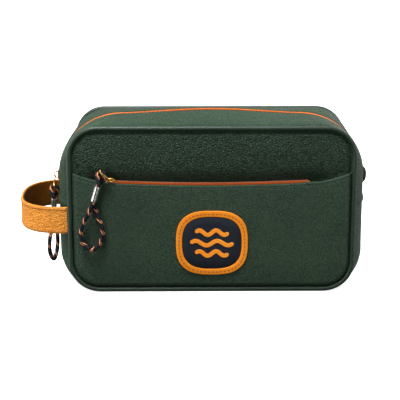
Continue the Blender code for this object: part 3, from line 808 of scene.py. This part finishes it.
def roof(points):
    """Rise of the stuffed top towards the middle of the zip, and a small push at the rear right corner."""
    x = points[..., 0]
    y = points[..., 1]
    rise = ROOF_RISE * np.cos(np.pi / 2 * np.clip(x / ROOF_HALF, -1, 1)) ** 2 - ROOF_DROP
    high = np.clip((points[..., 2] - HEIGHT + 0.030) / 0.025, 0, 1)
    ridge = rise * np.clip(1 - np.abs(y) / GUSSET_EDGE_Y, 0, 1) ** 1.1 * high
    far = np.clip(y / GUSSET_EDGE_Y, 0, 1) * np.clip(1 - ((y - 0.030) / 0.022) ** 2, 0, 1)
    push = 0.0022 * far * np.clip((x - 0.070) / 0.040, 0, 1) * high
    return ridge + push


def edge_tuck(y):
    """Depth to which the leather turns down beside the pipings."""
    return 0.0022 * np.clip(1 - (GUSSET_EDGE_Y - y) / 0.0065, 0, 1) ** 1.4


def upper_lift(points):
    """Height of the upper leather over its plain form: dipped beside the zip, cuffed over the side seams."""
    y = np.abs(points[..., 1])
    mouth_dip = 0.0013 * np.clip(1 - (y - MOUTH_EDGE_Y) / 0.0060, 0, 1) ** 2
    channel = 0.0005 * np.exp(-((y - SEAM_CHANNEL_Y) / 0.0008) ** 2)
    edge = np.clip((GUSSET_EDGE_Y - y) / 0.010, 0, 1)
    cuff = 0.0011 * np.exp(-((points[..., 2] - SEAM_Z) / 0.0032) ** 2) * edge
    swell = soft_swell(points, 0.0005, np.sign(points[..., 1]))
    return swell + cuff + roof(points) - mouth_dip - channel - edge_tuck(y)


def lower_lift(points):
    """Height of the base leather over its plain form: dipped at the side seams, flat where the bag stands."""
    seam = 0.0007 * np.exp(-((points[..., 2] - SEAM_Z) / 0.0030) ** 2)
    rest = np.clip(points[..., 2] / 0.010, 0, 1)
    return soft_swell(points, 0.0003, 2.0) - (edge_tuck(np.abs(points[..., 1])) + seam) * rest


def build_gussets():
    front = strip_section(-GUSSET_END_Y, -MOUTH_EDGE_Y, LEATHER, False, True)
    rear = strip_section(MOUTH_EDGE_Y, GUSSET_END_Y, LEATHER, True, False)
    base = strip_section(-GUSSET_END_Y, GUSSET_END_Y, LEATHER, False, False)
    pieces = (
        ("mouth_leather_front", UPPER_ROUTES, front, upper_lift, "top_gusset_front"),
        ("mouth_leather_rear", UPPER_ROUTES, rear, upper_lift, "top_gusset_rear"),
        ("base_leather", LOWER_ROUTES, base, lower_lift, "base_gusset"),
    )
    for name, routes, section, lift, node in pieces:
        item = gusset_strip(name, routes, section, lift)
        finish_piece(item, GREEN_GUSSET_PAINTED_LIGHT, "bag", (node,))


def build_gusset_stitches():
    rows = (("piping_seam_stitches_front", -SEAM_CHANNEL_Y), ("piping_seam_stitches_rear", SEAM_CHANNEL_Y),
            ("mouth_stitches_front", -MOUTH_STITCH_Y), ("mouth_stitches_rear", MOUTH_STITCH_Y))
    for name, y in rows:
        points, normals = gusset_surface(UPPER_ROUTES, [y])
        lifted = points + normals * upper_lift(points)[..., None]
        item = stitch_row(name, lifted[:, 0], normals[:, 0], *SEAM_STITCH)
        finish_piece(item, GREEN_THREAD, "bag")


# ---------------------------------------------------------------- zips
def tooth_mesh():
    """One rounded coil tooth about its centre: x along the zip, y across it, z outward. Unit half sizes."""
    verts = []
    faces = []
    rows = 6
    around = 8
    for i in range(rows + 1):
        polar = math.pi * i / rows
        for k in range(around):
            turn = 2 * math.pi * k / around
            x = math.sin(polar) * math.cos(turn)
            z = math.sin(polar) * math.sin(turn)
            y = math.cos(polar)
            verts.append([math.copysign(abs(v) ** 0.75, v) for v in (x, y, z)])
    for i in range(rows):
        for k in range(around):
            a = i * around + k
            b = i * around + (k + 1) % around
            faces.append((a, b, b + around, a + around))
    return np.array(verts), faces


def zip_teeth(name, path, normals, side, half):
    """A row of teeth along one side of a zip. half is the tooth's half size along, across and outward."""
    spots = resample(np.hstack([path, normals]), spacing=TOOTH_PITCH)
    if side > 0:
        spots = (spots[:-1] + spots[1:]) / 2
    places = spots[:, :3]
    ups = unit(spots[:, 3:6])
    tangent = frames_along(places, ups)[0]
    across = np.cross(ups, tangent)
    tooth, tooth_faces = tooth_mesh()
    verts = []
    faces = []
    for centre, along_, across_, up_ in zip(places, tangent, across, ups):
        first = len(verts)
        centre = centre + across_ * side * half[1] * 0.80
        for x, y, z in tooth:
            verts.append(centre + along_ * x * half[0] + across_ * y * half[1] + up_ * z * half[2])
        faces += [tuple(first + v for v in face) for face in tooth_faces]
    item = mesh_piece(name, verts, faces)
    weld = item.modifiers.new("Weld", "WELD")
    weld.merge_threshold = 0.000001
    return item


def build_main_zip():
    points, normals = gusset_surface(UPPER_ROUTES, [0.0])
    points = points + normals * roof(points)[..., None]
    path = points[:, 0] - normals[:, 0] * 0.0009
    half = (0.00052, 0.00125, 0.00085)
    for name, side in (("front", -1), ("rear", 1)):
        item = zip_teeth("main_coil_" + name, path, normals[:, 0], side, half)
        finish_piece(item, ZIP_COIL, "bag", ("main_zip_teeth_" + name,))
    for name, side in (("front", -1), ("rear", 1)):
        section = strip_section(0.0004, 0.0110, 0.0006, True, False, 0.0008)
        section = section * np.array([side, 1.0])
        if side < 0:
            section = section[::-1]
        section[:, 1] += 0.0022
        item = gusset_strip("main_tape_" + name, UPPER_ROUTES, section, roof)
        finish_piece(item, ZIP_TAPE, "bag", ("main_zip_tape_" + name,))


POCKET_SAG = 0.0024        # drop of the pocket's zip at its middle
MOUTH_DROP = 0.0009
MOUTH_RISE = 0.0081        # rise of the mouth's line from MOUTH_RISE_X to the side seam
MOUTH_RISE_X = 0.094
CLOSING_REACH = 0.0090     # length over which the mouth closes before each end of the zip
MOUTH_MIDDLE_X = (POCKET_ZIP_X[0] + POCKET_ZIP_X[1]) / 2
MOUTH_HALF = (POCKET_ZIP_X[1] - POCKET_ZIP_X[0]) / 2


def mouth_line(x):
    """Height of the pocket zip's middle: a shallow smile along the zip, rising to the side seams."""
    x = np.asarray(x, dtype=float)
    share = np.clip(np.abs(x - MOUTH_MIDDLE_X) / MOUTH_HALF, 0, None)
    z = POCKET_ZIP_Z - MOUTH_DROP - POCKET_SAG * (1 - np.minimum(share, 1.0) ** 2)
    beyond = np.clip(np.abs(x) - MOUTH_RISE_X, 0, None) / (PANEL_HALF - MOUTH_RISE_X)
    return z + MOUTH_RISE * beyond ** 1.4


def closing(x):
    """0 along the pocket zip, rising to 1 at its ends and beyond them."""
    return np.clip((np.abs(x - MOUTH_MIDDLE_X) - MOUTH_HALF + CLOSING_REACH) / CLOSING_REACH, 0, 1)


def mouth_gap(x):
    """Half the gap between the leather edges of the mouth: open along the zip and closed beyond its ends."""
    return 0.00105 - 0.00080 * closing(x)


def build_pocket_zip():
    """The zip leans back between the pocket's proud lip and the recessed panel above it."""
    xs = np.linspace(POCKET_ZIP_X[0], POCKET_ZIP_X[1], 160)
    path = np.column_stack([xs, np.full_like(xs, -0.0514), mouth_line(xs) - 0.0002])
    lean = np.tile((0.0, -0.80, 0.60), (len(xs), 1))
    half = (0.00052, 0.00068, 0.00055)
    for name, side in (("lower", -1), ("upper", 1)):
        item = zip_teeth("pocket_coil_" + name, path, lean, side, half)
        finish_piece(item, POCKET_COIL_PAINTED_SHADE, "bag", ("pocket_zip_teeth_" + name,))
    tapes = (("lower", -1, 0.00085, (0.60, 0.80)), ("upper", 1, 0.0011, (0.914, 0.406)))
    for name, side, half_tape, (back, rise) in tapes:
        section = rounded_section(half_tape, 0.00022, 0.0002, 3, 2)
        up_ = np.array((0.0, back, rise))
        out_ = np.array((0.0, -rise, back))
        rings = []
        for point in path:
            centre = point + np.array((0.0, 0.0007, 0.0)) + up_ * side * half_tape
            rings.append([centre + up_ * across + out_ * height for across, height in section])
        item = loft("pocket_tape_" + name, rings)
        finish_piece(item, POCKET_TAPE_PAINTED_SHADE, "bag", ("pocket_zip_tape_" + name,))
    section = rounded_section(0.0006, 0.0007, 0.0003, 3, 2)
    for name, x in (("left", POCKET_ZIP_X[0] - 0.0008), ("right", POCKET_ZIP_X[1] + 0.0008)):
        heights = float(mouth_line(x)) + np.linspace(-0.0014, 0.0004, 7)
        path = np.array([(x, -0.0508, z) for z in heights])
        item = sweep("pocket_stop_" + name, path, section, (0.0, -1.0, 0.0))
        finish_piece(item, GOLD, "bag", ("pocket_zip_stop_" + name,))


# ---------------------------------------------------------------- panels
PANEL_CORNER = PIPING_CORNER - PIPING_R - 0.0003
GROOVE_REACH = 0.0045      # width of the panels' turn down beside the piping


def panel_bounds(x):
    """Lowest and highest point of the panels' rounded outline at each x."""
    over = np.clip(np.abs(x) - (PANEL_HALF - PANEL_CORNER), 0, PANEL_CORNER)
    drop = PANEL_CORNER - np.sqrt(np.maximum(PANEL_CORNER ** 2 - over ** 2, 0))
    return PANEL_LOW + drop, PANEL_TOP - drop


def edge_distance(x, z, half=PANEL_HALF, low=PANEL_LOW, top=PANEL_TOP, radius=PANEL_CORNER):
    """Distance inside a rounded rectangle, the panels' own if no other is given."""
    middle = (low + top) / 2
    qx = np.abs(x) - (half - radius)
    qz = np.abs(z - middle) - ((top - low) / 2 - radius)
    outside = np.hypot(np.maximum(qx, 0), np.maximum(qz, 0))
    return radius - outside - np.minimum(np.maximum(qx, qz), 0)


def panel_sheet(name, columns, low_line, high_line, face, thickness, rows=60, facing=-1):
    """A closed leather sheet on columns between two lines. face(x, z) gives the outer surface's y."""
    share = 0.5 - 0.5 * np.cos(np.pi * np.linspace(0, 1, rows))
    z = low_line[:, None] + (high_line - low_line)[:, None] * share[None, :]
    x = np.repeat(columns[:, None], rows, axis=1)
    outer = np.stack([x, face(x, z), z], axis=-1)
    inner = outer.copy()
    inner[..., 1] -= facing * thickness
    count, size = z.shape
    verts = np.vstack([outer.reshape(-1, 3), inner.reshape(-1, 3)])
    back = count * size
    faces = []
    for i in range(count - 1):
        for j in range(size - 1):
            a = i * size + j
            quad = (a, a + size, a + size + 1, a + 1)
            other = tuple(back + v for v in reversed(quad))
            faces.append(quad if facing < 0 else quad[::-1])
            faces.append(other if facing < 0 else other[::-1])
    rim = [i * size for i in range(count)]
    rim += [(count - 1) * size + j for j in range(1, size)]
    rim += [i * size + size - 1 for i in range(count - 2, -1, -1)]
    rim += [j for j in range(size - 2, 0, -1)]
    for a, b in zip(rim, rim[1:] + rim[:1]):
        quad = (b, a, back + a, back + b)
        faces.append(quad if facing < 0 else quad[::-1])
    return mesh_piece(name, verts, faces)


def panel_columns(count):
    """Positions across the panel, closer together at its sides."""
    return -PANEL_HALF * np.cos(np.pi * np.linspace(0, 1, count))


def pillow(distance, reach, power=2.0):
    """0 at the edge, rising to 1 at a distance of reach."""
    share = np.clip(distance / reach, 0, 1)
    return 1 - (1 - share) ** power


def unevenness(x, z, inside, height, scale, seed):
    """Slow unevenness of a panel, nothing at its edge."""
    return height * smooth_noise(np.stack([x, 0 * x, z], axis=-1), scale, seed) * pillow(inside, 0.03)


def front_face(x, z):
    """Outer surface of the panel above the pocket: pillowed, and turned in towards the zip."""
    inside = edge_distance(x, z)
    above_zip = np.clip(z - mouth_line(x), 0, None)
    groove = 0.0022 * (1 - pillow(inside, GROOVE_REACH))
    recess = 0.0016 * np.clip(1 - above_zip / 0.026, 0, 1) ** 2
    recess = recess + 0.0034 * np.exp(-((above_zip / 0.0070) ** 1.4))
    wobble = unevenness(x, z, inside, 0.0003, 38.0, 4.0)
    side_share = np.clip((PANEL_HALF - np.abs(x)) / 0.030, 0.15, 1)
    swell = 0.0012 * pillow(inside, 0.022)
    return FRONT_FACE_Y + 0.0006 - swell + groove + recess * side_share - wobble


def build_front_panel():
    xs = panel_columns(180)
    base = mouth_line(xs) + mouth_gap(xs) - 0.0050 * closing(xs)
    top = np.maximum(panel_bounds(xs)[1], base + 0.001)
    item = panel_sheet("front_panel_leather", xs, base, top, front_face, 0.0008)
    finish_piece(item, GREEN, "bag", ("front_panel",))


def pocket_face(x, z):
    """Outer surface of the stuffed pocket."""
    inside = edge_distance(x, z, top=PANEL_TOP + 0.2)
    below_mouth = np.clip(mouth_line(x) - mouth_gap(x) - z, 0, None)
    groove = 0.0030 * (1 - pillow(inside, GROOVE_REACH))
    swell = 0.0016 * pillow(inside, 0.030) * (0.4 + 0.6 * pillow(below_mouth, 0.035))
    lip = 0.0010 * np.clip(1 - below_mouth / 0.0010, 0, 1) ** 2
    channel = 0.00015 * np.exp(-((below_mouth - 0.0032) / 0.0010) ** 2)
    wobble = unevenness(x, z, inside, 0.0003, 30.0, 9.0)
    return POCKET_FACE_Y + 0.0004 - swell + groove + lip + channel - wobble


def build_pocket_panel():
    xs = panel_columns(180)
    item = panel_sheet("pocket_leather", xs, panel_bounds(xs)[0], mouth_line(xs) - mouth_gap(xs), pocket_face,
                       PANEL_LEATHER, rows=110)
    finish_piece(item, GREEN_CALM, "bag", ("front_pocket_panel",))
    row = np.linspace(-PANEL_HALF + 0.004, PANEL_HALF - 0.004, 300)
    height = mouth_line(row) - 0.0041
    points = np.column_stack([row, pocket_face(row, height), height])
    normals = np.tile((0.0, -1.0, 0.0), (len(row), 1))
    item = stitch_row("pocket_edge_stitches", points, normals, *POCKET_STITCH)
    finish_piece(item, GREEN_THREAD, "bag")


def back_face(x, z):
    """Outer surface of the stuffed back."""
    inside = edge_distance(x, z)
    y = BACK_FACE_Y - 0.0004 + 0.0028 * pillow(inside, 0.045) - 0.0028 * (1 - pillow(inside, GROOVE_REACH))
    return y + unevenness(x, z, inside, 0.0004, 26.0, 6.0)


def build_back_panel():
    xs = panel_columns(150)
    item = panel_sheet("back_panel_leather", xs, *panel_bounds(xs), back_face, PANEL_LEATHER, rows=110,
                       facing=1)
    finish_piece(item, GREEN, "bag", ("back_panel",))


def build_piping():
    outline = rounded_rectangle(HALF_WIDTH - PIPING_R, PIPING_FLOOR + PIPING_R, HEIGHT - PIPING_R,
                                PIPING_CORNER)
    for name, y in (("front_piping", -PIPING_Y), ("back_piping", PIPING_Y)):
        flat = resample(outline, count=420, closed=True)
        path = np.insert(flat, 1, y, axis=1)
        item = sweep(name + "_bead", path, circle(PIPING_R, 18), (0.0, 1.0, 0.0), closed=True)
        finish_piece(item, GREEN_PIPING_PAINTED_SHADE, "bag", (name,))


# ---------------------------------------------------------------- hand strap
STRAP_REACH = STRAP_ROOT_X - STRAP_LOW.x
STRAP_SPAN = STRAP_HIGH.y
STRAP_SEWN_X = -0.1306
STRAP_TILT = 0.045


def strap_path(inset, start_x):
    """Plan route of the strap at an inset from its outer face, front root to rear root."""
    reach = STRAP_REACH - inset
    span = STRAP_SPAN - inset
    share = (STRAP_ROOT_X - start_x) / reach
    last = math.acos(share ** (STRAP_POWER / 2))
    angles = np.linspace(-last, last, 900)
    x = STRAP_ROOT_X - reach * np.abs(np.cos(angles)) ** (2 / STRAP_POWER)
    y = span * np.sign(angles) * np.abs(np.sin(angles)) ** (2 / STRAP_POWER)
    path = np.column_stack([x, y, STRAP_Z + STRAP_TILT * y])
    return resample(path, spacing=0.0007)


def strap_flex(item):
    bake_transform(item)


def build_strap():
    outer_half = 0.00095
    lining_half = 0.00045
    path = strap_path(outer_half, STRAP_SEWN_X)
    section = rounded_section(outer_half, STRAP_HALF_HEIGHT, 0.0008, 4)
    item = sweep("hand_strap_leather", path, section, (0.0, 0.0, 1.0))
    nodes = ("hand_strap", "hand_strap_root_front", "hand_strap_root_rear")
    finish_piece(item, TAN, None, nodes)
    strap_flex(item)
    path = strap_path(2 * outer_half + lining_half, STRAP_SEWN_X)
    section = rounded_section(lining_half, STRAP_HALF_HEIGHT - 0.0004, 0.0004, 4)
    item = sweep("hand_strap_backing", path, section, (0.0, 0.0, 1.0))
    finish_piece(item, BROWN, None, ("hand_strap_lining",))
    strap_flex(item)
    outside = strap_path(0.0, STRAP_SEWN_X - 0.001)
    facing = -frames_along(outside, (0.0, 0.0, 1.0))[1]
    for name, height in (("upper", STRAP_HALF_HEIGHT - 0.0021), ("lower", -STRAP_HALF_HEIGHT + 0.0021)):
        row = outside + np.array([0.0, 0.0, height])
        sign = np.sign(np.sum(facing * (row - np.array([STRAP_ROOT_X, 0, row[0, 2]])), axis=1))[:, None]
        item = stitch_row("strap_stitches_" + name, row, facing * sign, *STRAP_STITCH)
        finish_piece(item, TAN_THREAD, None)
        strap_flex(item)


# ---------------------------------------------------------------- hardware
FERRULE_HALF_WIDTH = 0.0026
FERRULE_HALF_DEPTH = 0.0045
PULLER_HOOK = np.array((-0.0900, PULL_Y, 0.1060))      # where the pocket's puller hangs on its bridge
PULLER_EYE = np.array((-0.0983, PULL_Y, 0.1138))       # middle of the ring around the cord
RING_RADIUS = 0.0027
HOOK_RADIUS = 0.0012
WIRE_RADIUS = 0.00045


def ferrule_outline(grow, groove):
    """Oval section of a rolled sleeve, with a groove where its two edges meet at the front."""
    c = np.cos(turns(72))
    s = np.sin(turns(72))
    points = np.column_stack([(FERRULE_HALF_WIDTH + grow) * c, (FERRULE_HALF_DEPTH + grow) * s])
    half = 0.00055 * groove
    depth = 0.0011 * np.exp(-(points[:, 0] / max(half, 0.00001)) ** 4) * (s < 0) * (groove > 0)
    points[:, 1] += depth
    return points


def build_ferrule(name, top, bottom, body, node):
    top = np.array(top, dtype=float)
    bottom = np.array(bottom, dtype=float)
    axis = unit(top - bottom)
    side = unit(np.cross((0.0, 1.0, 0.0), axis))
    deep = np.cross(axis, side)
    length = np.linalg.norm(top - bottom)
    stations = [(0.0, -0.0005), (0.00015, -0.0002), (0.0005, 0.0)]
    stations += [(v, 0.0) for v in np.linspace(0.0010, length - 0.0010, 25)]
    stations += [(length - 0.0005, 0.0), (length - 0.00015, -0.0002), (length, -0.0005)]
    rings = []
    for along_, grow in stations:
        wave = 1.0 + 0.12 * math.sin(2 * math.pi * along_ / (length / 4.5))
        outline = ferrule_outline(grow, wave)
        rings.append(bottom + axis * along_ + outline[:, :1] * side + outline[:, 1:] * deep)
    item = loft(name, rings)
    finish_piece(item, SILVER, body, (node,))
    face = -deep if deep[1] > 0 else deep
    path = np.linspace(bottom + axis * 0.0004, top - axis * 0.0004, 40) + face * (FERRULE_HALF_DEPTH - 0.0012)
    seam = sweep(name + "_seam", path, rounded_section(0.0009, 0.0007, 0.0005, 4, 3), tuple(face))
    finish_piece(seam, WEBBING, body)


def build_end_tab():
    """A folded end of webbing beside the zip: a small flattened half round."""
    low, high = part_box("zip_end_tab")
    middle = (low + high) / 2
    half_depth = (high.y - low.y) / 2
    half_height = (high.z - low.z) / 2
    reach = high.x - low.x
    edge = 0.0006
    rings = []
    for y, shrink in ((-half_depth, edge), (-half_depth + edge / 3, edge / 3), (-half_depth + edge, 0.0),
                      (half_depth - edge, 0.0), (half_depth - edge / 3, edge / 3), (half_depth, edge)):
        nose = superellipse(reach - shrink, half_height - shrink, 2.3, 64)
        nose[:, 0] = np.maximum(nose[:, 0], -0.0004)
        rings.append(np.insert(nose + (low.x, middle.z), 1, middle.y + y, axis=1))
    item = loft("end_tab_webbing", rings[::-1])
    finish_piece(item, WEBBING, "bag", ("zip_end_tab",))


def gold_piece(item, body, *nodes):
    finish_piece(item, GOLD, body, nodes)


def gold_ring(name, centre, axis, radius, *nodes):
    """A round ring of wire about an axis, on the pocket's puller."""
    axis = unit(np.array(axis))
    side = unit(np.cross(axis, (0.0, 0.3, 1.0)))
    angles = turns(64)[:, None]
    path = centre + radius * (np.cos(angles) * side + np.sin(angles) * np.cross(axis, side))
    gold_piece(sweep(name, path, circle(WIRE_RADIUS, 14), tuple(axis), closed=True), "pocket_puller", *nodes)


def build_pocket_slider():
    """Rounded slider body, its arched bridge, and the pull bar with a ring around the cord's eye."""
    low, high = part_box("pocket_slider_plate")
    centre_x = (low.x + high.x) / 2 - 0.0008
    centre_z = (low.z + high.z) / 2
    rings = []
    for y, shrink in ((high.y, 0.0), (low.y + 0.0005, 0.0), (low.y + 0.00015, 0.0003), (low.y, 0.0008)):
        outline = superellipse(0.0035 - shrink, 0.0020 - shrink, 2.4, 64)
        z = centre_z + outline[:, 1] - 0.14 * outline[:, 0]
        rings.append(np.column_stack([centre_x + outline[:, 0], np.full(len(outline), y), z]))
    gold_piece(loft("pocket_slider_body", rings), "pocket_slider", "pocket_slider_plate")
    turn = np.linspace(0, np.pi, 33)
    path = np.column_stack([centre_x - 0.0025 * np.cos(turn), low.y + 0.0004 - 0.0046 * np.sin(turn),
                            centre_z + 0.0004 * np.cos(turn)])
    section = rounded_section(0.0006, 0.00045, 0.0003, 3, 2)
    item = sweep("pocket_slider_bridge", path, section, (0.0, 0.0, 1.0))
    gold_piece(item, "pocket_slider", "pocket_slider_crown")
    toward = unit(PULLER_HOOK - PULLER_EYE)
    gold_ring("pocket_pull_ring", PULLER_EYE, (1.0, 0.0, 0.35), RING_RADIUS, "pocket_puller")
    gold_ring("pocket_pull_hook", PULLER_HOOK + toward * 0.0004, (0.25, 0.0, 1.0), HOOK_RADIUS)
    start = PULLER_HOOK - toward * HOOK_RADIUS
    end = PULLER_EYE + np.array((0.0006, -RING_RADIUS, -0.0006))
    share = np.linspace(0, 1, 17)[:, None]
    path = start + (end - start) * share + np.array((0.0, -0.0006, 0.0004)) * np.sin(np.pi * share)
    item = sweep("pocket_pull_bar", path, rounded_section(0.0008, 0.00055, 0.0004, 3, 2), (0.0, -1.0, 0.2))
    gold_piece(item, "pocket_puller")


def build_hardware():
    build_pocket_slider()
    low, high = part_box("main_slider_crown")
    turn = np.linspace(0, np.pi, 33)
    path = np.column_stack([high.x + 0.0003 - 0.0036 * np.sin(turn), np.zeros(33),
                            (low.z + high.z) / 2 - 0.0030 * np.cos(turn)])
    item = sweep("main_slider_bridge", path, rounded_section(0.0005, 0.00040, 0.0003, 3, 2), (0.0, 1.0, 0.0))
    gold_piece(item, "main_slider", "main_slider_crown")
    build_ferrule("pocket_sleeve", (-0.1015, PULL_Y, 0.1015), (-0.1057, PULL_Y, 0.0878), "pocket_pull",
                  "pocket_pull_ferrule")
    build_ferrule("main_sleeve", (-0.1475, 0, 0.0752), (-0.1478, 0, 0.0615), "main_pull", "main_pull_ferrule")
    build_end_tab()


# ---------------------------------------------------------------- badge
BADGE_STEPS = 200
MARK_HALF = 0.0019         # half the width of a stroke of the mark
# Share of the field's half sizes, and height over the pocket
FIELD_RINGS = ((1.0, 0.0), (1.0, 0.0006), (0.985, 0.0009), (0.7, 0.0010), (0.35, 0.0010), (0.02, 0.0010))


def badge_surface(points, lift):
    """Points of the badge on the pocket's outer surface, raised by lift."""
    x = points[:, 0]
    z = points[:, 1] + BADGE_Z
    return np.column_stack([x, pocket_face(x, z) - lift, z])


def build_badge():
    half_width = BADGE_HIGH.x
    half_height = (BADGE_HIGH.z - BADGE_LOW.z) / 2
    rim = half_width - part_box("badge_field")[1].x
    thickness = 0.0013
    section = rounded_section(rim / 2, thickness / 2, 0.0005, 4)
    rings = []
    for across, up_ in section:
        inset = rim / 2 + across
        outline = superellipse(half_width - inset, half_height - inset, BADGE_POWER, BADGE_STEPS)
        rings.append(badge_surface(outline, thickness / 2 + up_))
    rings = np.array(rings).transpose(1, 0, 2)
    item = loft("badge_rim_leather", rings[::-1], closed=True)
    finish_piece(item, BADGE_TAN, "bag", ("badge_rim",))
    outline = superellipse(half_width - rim * 0.5, half_height - rim * 0.5, BADGE_POWER, 400)
    line = resample(outline, count=300, closed=True)
    points = badge_surface(line, thickness)
    normals = np.tile((0.0, -1.0, 0.0), (len(points), 1))
    item = stitch_row("badge_stitches", points, normals, *BADGE_STITCH, closed=True)
    finish_piece(item, BADGE_THREAD, "bag")
    field_rings = []
    for share, lift in FIELD_RINGS:
        outline = superellipse((half_width - rim) * share, (half_height - rim) * share, BADGE_POWER,
                               BADGE_STEPS)
        field_rings.append(badge_surface(outline, lift))
    item = loft("badge_field_leather", np.array(field_rings)[::-1])
    finish_piece(item, NAVY, "bag", ("badge_field",))
    for number in (1, 2, 3):
        low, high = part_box("badge_wave_" + str(number))
        middle = (low.z + high.z) / 2
        xs = np.linspace(low.x, high.x, 90)
        swing = (high.z - low.z) / 2 - MARK_HALF
        zs = middle + swing * np.sin(2 * np.pi * 2 * np.linspace(0, 1, len(xs)))
        path = np.column_stack([xs, pocket_face(xs, zs) - 0.0011, zs])
        side, raised = frames_along(path, (0.0, -1.0, 0.0))[1:]
        section = rounded_section(MARK_HALF, 0.00020, 0.00015, 3)
        taper = np.clip(np.minimum(xs - low.x, high.x - xs) / MARK_HALF, 0, 1)
        taper = np.sqrt(np.maximum(1 - (1 - taper) ** 2, 0.02))
        rings = (path[:, None] + side[:, None] * section[None, :, 0:1] * taper[:, None, None]
                 + raised[:, None] * section[None, :, 1:2])
        item = loft("badge_mark_" + str(number), rings)
        finish_piece(item, MARK, "bag", ("badge_wave_" + str(number),))


def dress_frame_nodes():
    """Materials for the CAD nodes that show as they are."""
    looks = (
        (GOLD, ("main_slider_plate", "main_puller")),
        (LINING, ("top_lining_front", "top_lining_rear", "base_lining", "pocket_lining", "front_lining",
                  "back_lining")),
        (FOAM, ("front_foam", "back_foam", "base_board")),
    )
    for mat, names in looks:
        for name in names:
            mesh = bpy.data.objects[name].data
            mesh.materials.clear()
            mesh.materials.append(mat)


build_camera()
build_cords()
build_stage()
build_world()
build_lights()
build_gussets()
build_gusset_stitches()
build_main_zip()
build_pocket_zip()
build_front_panel()
build_pocket_panel()
build_back_panel()
build_piping()
build_strap()
build_hardware()
build_badge()
dress_frame_nodes()
